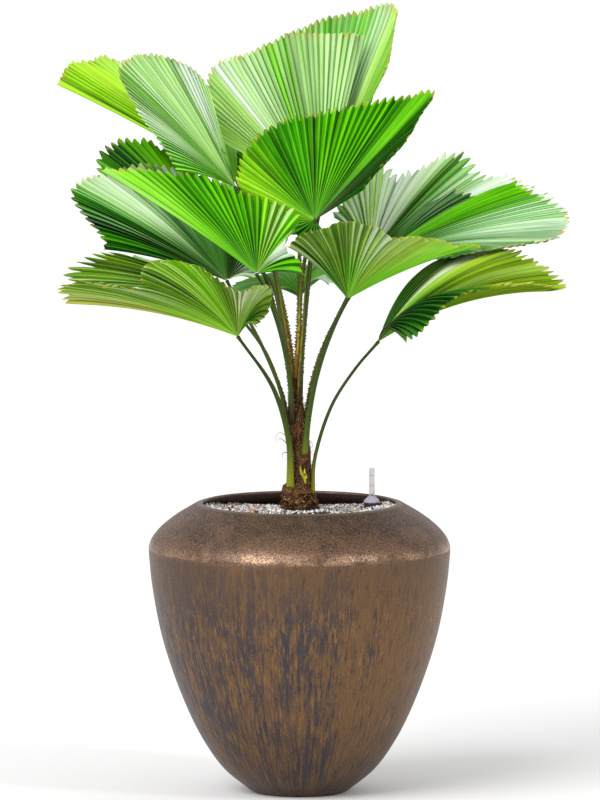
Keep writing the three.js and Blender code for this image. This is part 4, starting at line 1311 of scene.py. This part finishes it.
def wrapping_paths(random):
    """Torn fibres wrapped round the green feet of the stalks, where these come out of the trunk."""
    share = np.linspace(0, 1, 8)[None]
    paths = []
    for name in GREEN_FEET:
        x, y, foot = LEAVES[name]["stalk"][0]
        radius = STALK_BASE_RADII[name] * 1.1
        chance = chances(random, round(radius * 14))
        turn = math.atan2(y, x) + chance(-2, 1.2) + chance(0.3, 1.6) * share
        reach = radius + chance(0.1, 1.6) + 0.5 * np.sin(share * 6)
        height = foot + chance(-10, 1.5) + chance(-5, 5) * share
        height = np.minimum(height, foot + 3)
        paths.append(np.stack([x + np.cos(turn) * reach, y + np.sin(turn) * reach, height], -1) * MM)
    return np.concatenate(paths)


def make_fibres(settings):
    """The four bunches of fibres: the paths of each, how often it has each colour, and between which
    millimetres its fibres' radii lie."""
    random = np.random.default_rng(3)
    skins = [fibre_finish("brown fibre", settings.fibre),
             fibre_finish("rust fibre", settings.rust),
             fibre_finish("husk fibre", settings.husk),
             fibre_finish("dark fibre", settings.bark)]
    bunches = {"trunk_fibres": (hugging_paths(settings, random), (0.28, 0.2, 0.17, 0.35), (0.35, 0.95)),
               "trunk_tangle": (tangled_paths(settings, random), (0.24, 0.26, 0.18, 0.32), (0.5, 1.5)),
               "stalk_wraps": (wrapping_paths(random), (0.4, 0.3, 0.2, 0.1), (0.45, 0.9)),
               "trunk_wisps": (loose_paths(settings, random), (0.2, 0.4, 0.1, 0.3), (0.4, 0.9))}
    for name, (paths, deal, thick) in bunches.items():
        kinds = random.choice(len(skins), len(paths), p=deal)
        radii = random.uniform(*thick, len(paths)) * MM
        keep(strands(name, paths, radii, kinds, skins), name, "trunk_fibre")


# The sheath bits round the trunk: their foot and top heights in millimetres, middle turn and half turn
SHEATHS = [(496, 530, -2.6, 1.0), (503, 542, -0.4, 1.2), (508, 552, 1.4, 1.4), (516, 560, 2.9, 1.1),
           (534, 580, -1.5, 1.3), (552, 600, 0.4, 1.3), (566, 614, 2.3, 1.2), (590, 634, -2.2, 1.1),
           (606, 652, -0.4, 1.2), (618, 662, 1.6, 1.2), (640, 684, -1.5, 1.0), (648, 690, 0.9, 1.0)]

# The grid of a sheath, round the trunk and up it, and its thickness in millimetres
SHEATH_COLUMNS = 56
SHEATH_ROWS = 10
SHEATH_WALL = 0.7


def make_sheaths(settings):
    """The torn brown sheaths of old leaves, each wrapped part of the way round with a ragged top."""
    skin = fibre_finish("sheath", settings.fibre)
    chance = chances(np.random.default_rng(5), SHEATH_COLUMNS + 1)
    share = np.linspace(-1, 1, SHEATH_COLUMNS + 1)[:, None]
    up = np.linspace(0, 1, SHEATH_ROWS + 1)[None]
    for number, (foot, top, middle, half) in enumerate(SHEATHS, 1):
        ragged = chance(0.62, 1) * (1 - 0.35 * np.abs(share))
        height = foot + (top - foot) * up * ragged
        turn = middle + share * half + 0.05 * up * chance(-1, 1)
        off = 1.0 + 1.3 * up ** 2 + chance(-0.25, 0.6) * up
        piece, _, _ = sheet_through(on_trunk(height, turn, off))
        coat(piece, skin)
        thicken(piece, SHEATH_WALL * MM)
        smooth(piece, 50)
        keep(piece, f"trunk_sheath_{number}", "trunk_fibre")


# The young shoot that breaks through the fibres in front: each sliver's place in x, the height of its foot,
# its lean and its length, in millimetres
SHOOTS = [(10.5, 520, -3, 14), (8.5, 523, -4, 17), (6.5, 528, -5, 17), (4.5, 533, -4, 14), (11.5, 528, -1, 9),
          (3, 539, -2, 11), (7.5, 536, 2, 9)]


def make_shoot(settings):
    """A few yellow-green slivers on the front of the trunk."""
    random = np.random.default_rng(9)
    share = np.linspace(0, 1, 8)
    paths = []
    for x, foot, lean, length in SHOOTS:
        height = foot + length * share
        _, y, _, depth = trunk_at(height)
        wave = 0.5 * np.sin(share * 4 + x)
        paths.append(np.stack([x + lean * share + wave, y - depth - 2.4 - wave, height], -1) * MM)
    skin = fibre_finish("young shoot", settings.shoot)
    radii = random.uniform(1.4, 2.2, len(paths)) * MM
    piece = strands("trunk_shoot", np.array(paths), radii, np.zeros(len(paths), int), [skin], 6)
    keep(piece, "trunk_shoot", "trunk_fibre")


def smooth_outline(corners, per_span):
    """A smooth curve through an outline's corners, in millimetres."""
    flat = through([(r, z, 0) for r, z in corners], per_span * (len(corners) - 1) + 1)
    return [tuple(point[:2]) for point in flat]


def arc(middle, radius, start, end, steps):
    """Points on an arc of an outline, its angles in degrees."""
    turns = np.radians(np.linspace(start, end, steps))
    return [(middle[0] + radius * math.cos(a), middle[1] + radius * math.sin(a)) for a in turns]


def inside_of(outline):
    """The outline of the wall's inner face, one wall's thickness in."""
    line = np.array(outline)
    ahead = unit(np.gradient(line, axis=0))
    return [tuple(point) for point in line + np.stack([-ahead[:, 1], ahead[:, 0]], -1) * POT_WALL]


# The patterns of the glaze, as waves to the metre in x, in y and up the wall, and the radius in metres to
# which the wall is drawn out for them
STREAKS = (250, 250, 42)
RUNS = (110, 110, 6)
PATCHES = (14, 14, 9)
DRAWN_OUT = 0.23


def upright(shader):
    """Object coordinates drawn out to one radius, so that a streak stays upright on a wall that leans."""
    place = shader.place()
    outwards = shader.node("ShaderNodeVectorMath", operation="NORMALIZE")
    shader.link(shader.stretch(place, (1, 1, 0)), outwards.inputs[0])
    whole = shader.node("ShaderNodeVectorMath", operation="ADD")
    shader.link(shader.stretch(outwards.outputs[0], (DRAWN_OUT, DRAWN_OUT, 0)), whole.inputs[0])
    shader.link(shader.stretch(place, (0, 0, 1)), whole.inputs[1])
    return whole.outputs[0]


def belly_glaze(shader, settings, streaks, runs, patches, specks):
    """Slate shows through the gold in fine upright streaks, most low down, and towards the left, where the
    slate is partly a painted darker reflection.
    """
    x, _, height = shader.parts(shader.place())
    low = shader.ramp(height, settings.crease, settings.crease - 140 * MM, 0.35, 1)
    mixed = shader.math("MULTIPLY_ADD", streaks, 0.9, shader.times(runs, 0.6))
    mixed = shader.math("ADD", mixed, shader.times(patches, 0.5))
    # More slate towards the left, partly a painted darker reflection
    mixed = shader.math("MULTIPLY_ADD", x, -0.5, mixed)
    mixed = shader.math("MULTIPLY_ADD", shader.math("SUBTRACT", specks, 0.5), 0.3, mixed)
    slate = shader.times(shader.ramp(mixed, 0.97, 1.14), low)
    gold = shader.times(shader.ramp(mixed, 1.02, 0.86), low)
    colour = shader.mix(gold, settings.bronze, settings.ochre)
    colour = shader.mix(slate, colour, settings.slate)
    colour = shader.mix(shader.ramp(streaks, 0.57, 0.7, 0, 0.6), colour, settings.speck)
    glints = shader.times(shader.ramp(streaks, 0.45, 0.33, 0, 0.6), shader.ramp(low, 0.5, 1, 0.25, 1))
    colour = shader.mix(glints, colour, dimmed(settings.ochre, 1.7))
    return shader.mix(shader.ramp(specks, 0.5, 0.66, 0, 0.5), colour, (0.62, 0.6, 0.58), "MULTIPLY")


def shoulder_glaze(shader, settings, height, clouds, specks):
    """The shoulder is cloudy, darker higher up, with fine specks dark and bright."""
    cloudy = shader.math("MULTIPLY_ADD", height, 3.2, clouds)
    colour = shader.mix(shader.ramp(cloudy, 1.88, 2.1, 0, 0.6), settings.shoulder, settings.speck)
    colour = shader.mix(shader.ramp(specks, 0.52, 0.6, 0, 0.65), colour, settings.speck)
    return shader.mix(shader.ramp(specks, 0.46, 0.36, 0, 0.4), colour, settings.copper_and_highlight)


def pot_finish(settings):
    """A bronze glaze, streaked on the belly and speckled on the shoulder. The crease between them is
    glossier, and worn copper with a painted highlight, but for its left end; the lip is paler, and the foot
    is darkened with painted shade."""
    shader = Shader("pot glaze")
    place = shader.place()
    x, _, height = shader.parts(place)
    wall = upright(shader)
    streaks = shader.noise(shader.stretch(wall, STREAKS), 1.0, 5.0, 0.68)
    runs = shader.noise(shader.stretch(wall, RUNS), 1.0, 4.0, 0.6)
    patches = shader.noise(shader.stretch(wall, PATCHES), 1.0, 4.0, 0.6)
    clouds = shader.noise(place, 17, 4.0, 0.6)
    specks = shader.noise(place, 380, 3.0, 0.7)
    belly = belly_glaze(shader, settings, streaks, runs, patches, specks)
    shoulder = shoulder_glaze(shader, settings, height, clouds, specks)
    above = shader.ramp(height, settings.crease - 12 * MM, settings.crease + 4 * MM)
    colour = shader.mix(above, belly, shoulder)
    # A band along the crease: glossier glaze, and a copper colour that is partly wear and partly a painted
    # highlight, weaker at the left end
    worn = shader.times(shader.ramp(height, settings.crease - 3 * MM, settings.crease),
                        shader.ramp(height, settings.crease + 22 * MM, settings.crease + 2 * MM))
    wear_and_highlight = shader.times(worn, shader.ramp(specks, 0.64, 0.42))
    wear_and_highlight = shader.times(wear_and_highlight, shader.ramp(clouds, 0.6, 0.4, 0, 0.9))
    wear_and_highlight = shader.times(wear_and_highlight, shader.ramp(x, -245 * MM, -190 * MM, 0.25, 1))
    colour = shader.mix(wear_and_highlight, colour, settings.copper_and_highlight)
    on_lip = shader.ramp(height, (POT_HEIGHT - 3) * MM, (POT_HEIGHT - 0.5) * MM, 0, 0.8)
    colour = shader.mix(on_lip, colour, settings.lip_colour)
    # Painted shade: the pot darkens towards the floor
    foot_shade = shader.ramp(height, 200 * MM, 20 * MM, 0, 0.5)
    colour = shader.mix(foot_shade, colour, (0.45, 0.45, 0.45), "MULTIPLY")
    shader.bump(shader.math("ADD", specks, shader.times(runs, 0.6)), 0.25, 0.7 * MM)
    rough = shader.math("SUBTRACT", shader.ramp(specks, 0.35, 0.65, 0.38, 0.52), shader.times(worn, 0.14))
    return shader.finish(colour, rough, metallic=0.55)


def pot_inside_finish(settings):
    """The plain speckled wall inside the rim."""
    shader = Shader("pot inside")
    specks = shader.noise(shader.place(), 260, 4.0, 0.6)
    colour = shader.mix(shader.ramp(specks, 0.35, 0.7), settings.inside, dimmed(settings.inside, 0.5))
    shader.bump(specks, 0.3, 0.6 * MM)
    return shader.finish(colour, 0.6, metallic=0.1)


def make_pot(settings):
    """The pot turned from its outline: up the belly and the shoulder, over the lip, and down inside."""
    belly = smooth_outline(BELLY, 7)
    shoulder = smooth_outline(SHOULDER, 6)
    lip = settings.lip / MM / 2
    rim = arc((POT_RIM_RADIUS - 2, POT_HEIGHT - lip), lip, 52, 180, 10)
    inner = inside_of(belly + shoulder)[::-1]
    inner = [point for point in inner if POT_FLOOR + 6 < point[1] < POT_HEIGHT - 2 * lip]
    foot = [(0, 0), (POT_FOOT_RADIUS - 6, 0), (POT_FOOT_RADIUS, 0.6), (POT_FOOT_RADIUS + 5, 2.6)]
    outline = foot + belly + shoulder + rim + inner + [(POT_FOOT_RADIUS - 4, POT_FLOOR), (0, POT_FLOOR)]
    piece = turned(outline, settings.turns)
    coat(piece, pot_finish(settings), pot_inside_finish(settings))
    for face in piece.data.polygons:
        outwards = Vector((face.center.x, face.center.y, 0)).normalized()
        inwards = face.normal.dot(outwards) < -0.35
        face.material_index = int(inwards and face.center.z < (POT_HEIGHT - 4) * MM)
    smooth(piece, 40)
    return keep(piece, "pot_shell", "pot_glaze", "pot")


def plain_solid_finish(name, light, dark, scale):
    """A dull grainy finish of two tones for a solid that mostly lies hidden."""
    shader = Shader(name)
    grain = shader.noise(shader.place(), scale, 5.0, 0.6)
    shader.bump(grain, 0.6, 2 * MM)
    return shader.finish(shader.mix(shader.ramp(grain, 0.35, 0.65), light, dark), 0.95)


def make_bed(settings):
    """The finishes of the soil and of the gravel's solid under its pebbles."""
    soil = plain_solid_finish("soil", settings.soil, settings.soil_shade, 160)
    coat(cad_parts["soil"], soil)
    # The gravel's solid shows between the pebbles and is painted dark as the shade between them
    gravel = plain_solid_finish("gravel bed", settings.gap, dimmed(settings.gap, 0.4), 300)
    coat(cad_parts["gravel"], gravel)


# The layer of pebbles, in pitches: the distance of its rows, and how far a pebble may lie off its place
PEBBLE_ROWS = 0.866
PEBBLE_JITTER = 0.32


def pebble_spots(settings, random):
    """Where the pebbles lie, in millimetres: a jittered hexagonal layer, clear of the trunk and the gauge,
    with a second one under it where it is piled up at the sides."""
    reach = settings.reach / MM
    pitch = settings.pitch / MM
    steps = int(reach / pitch) + 2
    span = range(-steps, steps)
    grid = np.array([(column + 0.5 * (row % 2), row * PEBBLE_ROWS) for row in span for column in span])
    x, y = (grid * pitch + random.uniform(-PEBBLE_JITTER, PEBBLE_JITTER, grid.shape) * pitch).T
    _, foot_x, foot_y, foot_radius, _ = TRUNK_RINGS[0]
    bell_radius = bpy.context.scene.palm_gauge.bell_radius / MM
    trunk = np.hypot(x - foot_x, y - foot_y)
    gauge = np.hypot(x - GAUGE_PLACE[0], y - GAUGE_PLACE[1])
    level = GRAVEL_HEIGHT - GRAVEL_SAG + GRAVEL_SIDE_RISE * (x / GRAVEL_REACH) ** 2
    level = level + heap(TRUNK_HEAP, trunk, foot_radius) + heap(GAUGE_HEAP, gauge, bell_radius)
    pile = SIDE_PILE * np.clip(np.abs(x) / SIDE_PILE_PLACE, 0, 1.05) ** 4
    top = np.stack([x, y, level + pile + random.uniform(-1.2, 1.6, len(x))], -1)
    under = top - [0.5 * pitch, 0.3 * pitch, 3]
    room = reach - 1.2 * (top[:, 2] - GRAVEL_HEIGHT)
    inside = (gauge > bell_radius + 2) & (trunk > foot_radius - 1) & (np.hypot(x, y) < room)
    return np.concatenate([top[inside], under[inside & (pile > 1.5)]])


def pebble_skins(settings):
    """A mottled finish for each of the four kinds of pebble."""
    skins = []
    for number, tone in enumerate((settings.white, settings.pink, settings.blue, settings.grey), 1):
        shader = Shader(f"pebble {number}")
        mottle = shader.noise(shader.place(), 700, 2.0)
        colour = shader.mix(shader.ramp(mottle, 0.35, 0.7, 0, 0.4), tone, dimmed(tone, 0.6))
        skins.append(shader.finish(colour, 0.7))
    return skins


# How often a pebble is of each kind: white, pink, blue or grey
PEBBLE_DEAL = (0.42, 0.24, 0.18, 0.16)


def heap(height, distance, radius):
    """How far a heap of gravel stands up at a distance from what it leans on, in millimetres."""
    return height * np.clip(1 - np.clip(distance - radius - HEAP_STEP, 0, None) / HEAP_WIDTH, 0, None) ** 2


def make_gravel(settings):
    """The pebbles as one mesh: a coarse ball turned and squashed in a chance way for each."""
    random = np.random.default_rng(21)
    spots = pebble_spots(settings, random)
    bpy.ops.mesh.primitive_ico_sphere_add(subdivisions=1, radius=1)
    ball = bpy.context.object
    points = np.array([vertex.co for vertex in ball.data.vertices])
    faces = np.array([face.vertices for face in ball.data.polygons])
    bpy.data.objects.remove(ball)
    places = []
    for spot in spots:
        turn = Vector(random.normal(size=3)).to_track_quat("Z", "Y").to_matrix()
        sizes = settings.pebble * random.uniform(0.7, 1.2) * random.uniform(0.75, 1.15, 3)
        places.append(placement(np.array(turn) * sizes, spot * MM))
    skins = pebble_skins(settings)
    kinds = random.choice(len(skins), len(places), p=PEBBLE_DEAL)
    keep(joined("gravel_pebbles", points, faces, np.array(places), kinds, skins), "gravel_pebbles", "gravel")


def plastic(name, colour, roughness, clear=0.0):
    """A hazy plastic, with the share of light that it lets through."""
    shader = Shader(name)
    haze = shader.noise(shader.place(), 180, 2.0)
    shader.surface.inputs["Transmission Weight"].default_value = clear
    shader.surface.inputs["IOR"].default_value = 1.3
    tone = shader.mix(shader.ramp(haze, 0.4, 0.7, 0, 0.2), colour, dimmed(colour, 0.8))
    return shader.finish(tone, roughness)


def stand(piece, height):
    """Moves a part of the gauge to its place, and writes the place into its mesh."""
    piece.location = (GAUGE_PLACE[0] * MM, GAUGE_PLACE[1] * MM, height * MM)
    pick(piece)
    bpy.ops.object.transform_apply(location=True, rotation=True, scale=True)
    return piece


def gauge_part(outline, steps, skin, height, *names):
    """A turned part of the gauge with its foot at a height, and its own name and node; the slot that it is
    given is not used.
    """
    piece = turned(outline, steps)
    coat(piece, skin)
    smooth(piece, 50)
    keep(stand(piece, height), *names)


# The gauge's marks: how far up the tube each is, in millimetres, and its colour's name. Each is a band on the
# front of the tube. Its width and how far it stands off are in millimetres, and how far in front of the axis
# it ends is a share of the tube's radius.
GAUGE_MARKS = [(35.5, "yellow"), (18.5, "yellow"), (2, "red")]
MARK_WIDTH = 2.2
MARK_STANDS_OFF = 0.15
MARK_CUT = 0.84

# The gap between two parts of the gauge, and the radius of its base's edges, in millimetres
GAUGE_GAP = 0.3
GAUGE_EDGE = 0.8


def make_gauge(settings):
    """The gauge: its dark base, its clear bell and its tube, each turned, and the marks on the tube."""
    bell, tall = settings.bell_radius / MM, settings.bell_height / MM
    base, tube, length = settings.base_height / MM, settings.tube_radius / MM, settings.tube_length / MM
    dark = plastic("dark plastic", settings.dark, 0.3)
    clear = plastic("clear plastic", settings.clear, 0.2, 0.35)
    lilac = plastic("lilac plastic", settings.lilac, 0.2, 0.35)
    bell_foot = GAUGE_FOOT + base + GAUGE_GAP
    tube_foot = bell_foot + tall + GAUGE_GAP
    rim = bell - GAUGE_EDGE
    foot = [(0, 0), (rim, 0), *arc((rim, GAUGE_EDGE), GAUGE_EDGE, -90, 0, 4),
            *arc((rim, base - GAUGE_EDGE), GAUGE_EDGE, 0, 90, 4), (bell - 2, base), (0, base)]
    gauge_part(foot, 48, dark, GAUGE_FOOT, "gauge_foot", "gauge_dark", "gauge_base")
    slope = [(bell, tall * 0.06), (bell - 0.5, tall * 0.3), (bell - 3, tall * 0.58),
             (tube + 2.8, tall * 0.82), (tube + 1.2, tall)]
    cone = [(0, 0), (bell - 0.4, 0), *smooth_outline(slope, 4), (0, tall)]
    gauge_part(cone, 48, lilac, bell_foot, "gauge_cone", "gauge_clear", "gauge_bell")
    stem = [(0, 0), (tube, 0), (tube, length - 1), *arc((tube - 1, length - 1), 1, 0, 90, 4), (0, length)]
    gauge_part(stem, 32, clear, tube_foot, "gauge_stem", "gauge_clear", "gauge_tube")
    for number, (up, colour) in enumerate(GAUGE_MARKS, 1):
        deselect()
        bpy.ops.mesh.primitive_cylinder_add(vertices=32, radius=(tube + MARK_STANDS_OFF) * MM,
                                            depth=MARK_WIDTH * MM)
        mark = bpy.context.object
        bpy.ops.object.mode_set(mode="EDIT")
        bpy.ops.mesh.select_all(action="SELECT")
        bpy.ops.mesh.bisect(plane_co=(0, -tube * MARK_CUT * MM, 0), plane_no=(0, 1, 0), use_fill=True,
                            clear_outer=True)
        bpy.ops.object.mode_set(mode="OBJECT")
        smooth(mark, 40)
        coat(mark, plastic(f"gauge mark {number}", getattr(settings, colour), 0.4))
        keep(stand(mark, tube_foot + up), f"gauge_mark_{number}", "gauge_clear")


# The lights: how far each is turned from the camera's side to the right, its height above the floor and its
# softness, in degrees
LIGHTS = {"key": (-42, 37, 42), "fill": (53, 34, 8)}

# How wide the floor is and how far the camera sees, in metres, and how wide its film is, in millimetres
FLOOR_WIDTH = 60
CAMERA_SIGHT = 100
CAMERA_FILM = 36


def add_light(name, turn, height, softness, strength):
    """A far soft light."""
    data = bpy.data.lights.new(name, "SUN")
    data.energy = strength
    data.angle = math.radians(softness)
    light = bpy.data.objects.new(name, data)
    light.rotation_euler = (math.radians(90 - height), 0, math.radians(turn))
    bpy.context.scene.collection.objects.link(light)


def add_camera(settings):
    """The camera, far off and a little above, with the photograph's frame."""
    tilt = math.radians(VIEW_ELEVATION)
    back = Vector((0, -math.cos(tilt), math.sin(tilt)))
    centre_x = (PHOTO_WIDTH / 2 - PHOTO_AXIS_COLUMN) * MM_PER_PIXEL * MM
    centre_z = (PHOTO_FLOOR_ROW - PHOTO_HEIGHT / 2) * MM_PER_PIXEL * MM / math.cos(tilt)
    data = bpy.data.cameras.new("camera")
    data.sensor_width = CAMERA_FILM
    data.lens = CAMERA_FILM * settings.camera_distance / (PHOTO_HEIGHT * MM_PER_PIXEL * MM)
    data.clip_end = CAMERA_SIGHT
    camera = bpy.data.objects.new("camera", data)
    camera.location = Vector((centre_x, 0, centre_z)) + back * settings.camera_distance
    camera.rotation_euler = (-back).to_track_quat("-Z", "Y").to_euler()
    bpy.context.scene.collection.objects.link(camera)
    bpy.context.scene.camera = camera


def make_stage(settings):
    """The pale floor, the even light from all round, the two lights and the camera."""
    deselect()
    bpy.ops.mesh.primitive_plane_add(size=FLOOR_WIDTH, location=(0, 0, 0))
    floor = bpy.context.object
    floor.name = "floor"
    coat(floor, Shader("pale floor").finish(settings.floor, 0.9))
    world = bpy.data.worlds.new("studio")
    world.use_nodes = True
    world.node_tree.nodes["Background"].inputs["Color"].default_value = (1, 1, 1, 1)
    world.node_tree.nodes["Background"].inputs["Strength"].default_value = settings.sky
    bpy.context.scene.world = world
    for name, place in LIGHTS.items():
        add_light(f"{name} light", *place, getattr(settings, name))
    add_camera(settings)
    bpy.context.scene.view_settings.view_transform = "Standard"


class PALM_OT_pot(bpy.types.Operator):
    """Turn the round pot from its outline"""

    bl_idname = "fan_palm.pot"
    bl_label = "Pot"

    def execute(self, context):
        make_pot(context.scene.palm_pot)
        return {"FINISHED"}


class PALM_OT_fill(bpy.types.Operator):
    """Finish the soil and lay the gravel on it"""

    bl_idname = "fan_palm.fill"
    bl_label = "Gravel and Soil"

    def execute(self, context):
        make_bed(context.scene.palm_gravel)
        make_gravel(context.scene.palm_gravel)
        return {"FINISHED"}


class PALM_OT_gauge(bpy.types.Operator):
    """Make the water level gauge with its marks"""

    bl_idname = "fan_palm.gauge"
    bl_label = "Gauge"

    def execute(self, context):
        make_gauge(context.scene.palm_gauge)
        return {"FINISHED"}


class PALM_OT_trunk(bpy.types.Operator):
    """Make the trunk with its sheaths, its fibres and the young shoot"""

    bl_idname = "fan_palm.trunk"
    bl_label = "Trunk"

    def execute(self, context):
        settings = context.scene.palm_trunk
        make_trunk_core(settings)
        make_sheaths(settings)
        make_fibres(settings)
        make_shoot(settings)
        return {"FINISHED"}


class PALM_OT_stalks(bpy.types.Operator):
    """Make a spiny stalk for every leaf"""

    bl_idname = "fan_palm.stalks"
    bl_label = "Leaf Stalks"

    def execute(self, context):
        settings = context.scene.palm_stalks
        skin = stalk_finish(settings)
        for name, leaf in LEAVES.items():
            make_stalk(name, leaf, settings, skin)
        make_spines(settings)
        return {"FINISHED"}


class PALM_OT_blades(bpy.types.Operator):
    """Make the pleated blade of every leaf"""

    bl_idname = "fan_palm.blades"
    bl_label = "Leaf Blades"

    def execute(self, context):
        settings = context.scene.palm_blades
        skins = [blade_finish("leaf face", 0.0, settings), blade_finish("leaf back", 0.5, settings)]
        for name, leaf in LEAVES.items():
            make_blade(name, leaf, settings, skins)
        return {"FINISHED"}


class PALM_OT_stage(bpy.types.Operator):
    """Set up the floor, the lamps and the camera"""

    bl_idname = "fan_palm.stage"
    bl_label = "Stage"

    def execute(self, context):
        make_stage(context.scene.palm_stage)
        return {"FINISHED"}


class PALM_PT_panel(bpy.types.Panel):
    """Lists the pieces of the palm and their settings"""

    bl_idname = "PALM_PT_panel"
    bl_label = "Fan Palm"
    bl_space_type = "VIEW_3D"
    bl_region_type = "UI"
    bl_category = "Fan Palm"

    def draw(self, context):
        for operator, group in PIECES:
            box = self.layout.box()
            box.operator(operator.bl_idname)
            settings = getattr(context.scene, group)
            for key in settings.bl_rna.properties.keys():
                if key not in ("rna_type", "name"):
                    box.prop(settings, key)


SETTINGS = {
    "palm_pot": PotSettings,
    "palm_gravel": GravelSettings,
    "palm_gauge": GaugeSettings,
    "palm_trunk": TrunkSettings,
    "palm_stalks": StalkSettings,
    "palm_blades": BladeSettings,
    "palm_stage": StageSettings,
}

PIECES = [
    (PALM_OT_pot, "palm_pot"),
    (PALM_OT_fill, "palm_gravel"),
    (PALM_OT_gauge, "palm_gauge"),
    (PALM_OT_trunk, "palm_trunk"),
    (PALM_OT_stalks, "palm_stalks"),
    (PALM_OT_blades, "palm_blades"),
    (PALM_OT_stage, "palm_stage"),
]


def register():
    for name, group in SETTINGS.items():
        bpy.utils.register_class(group)
        setattr(bpy.types.Scene, name, PointerProperty(type=group))
    for operator, _ in PIECES:
        bpy.utils.register_class(operator)
    bpy.utils.register_class(PALM_PT_panel)


def unregister():
    bpy.utils.unregister_class(PALM_PT_panel)
    for operator, _ in reversed(PIECES):
        bpy.utils.unregister_class(operator)
    for name, group in reversed(SETTINGS.items()):
        delattr(bpy.types.Scene, name)
        bpy.utils.unregister_class(group)


def main():
    register()
    bpy.ops.fan_palm.pot()
    bpy.ops.fan_palm.fill()
    bpy.ops.fan_palm.gauge()
    bpy.ops.fan_palm.trunk()
    bpy.ops.fan_palm.stalks()
    bpy.ops.fan_palm.blades()
    bpy.ops.fan_palm.stage()


if __name__ == "__main__":
    main()
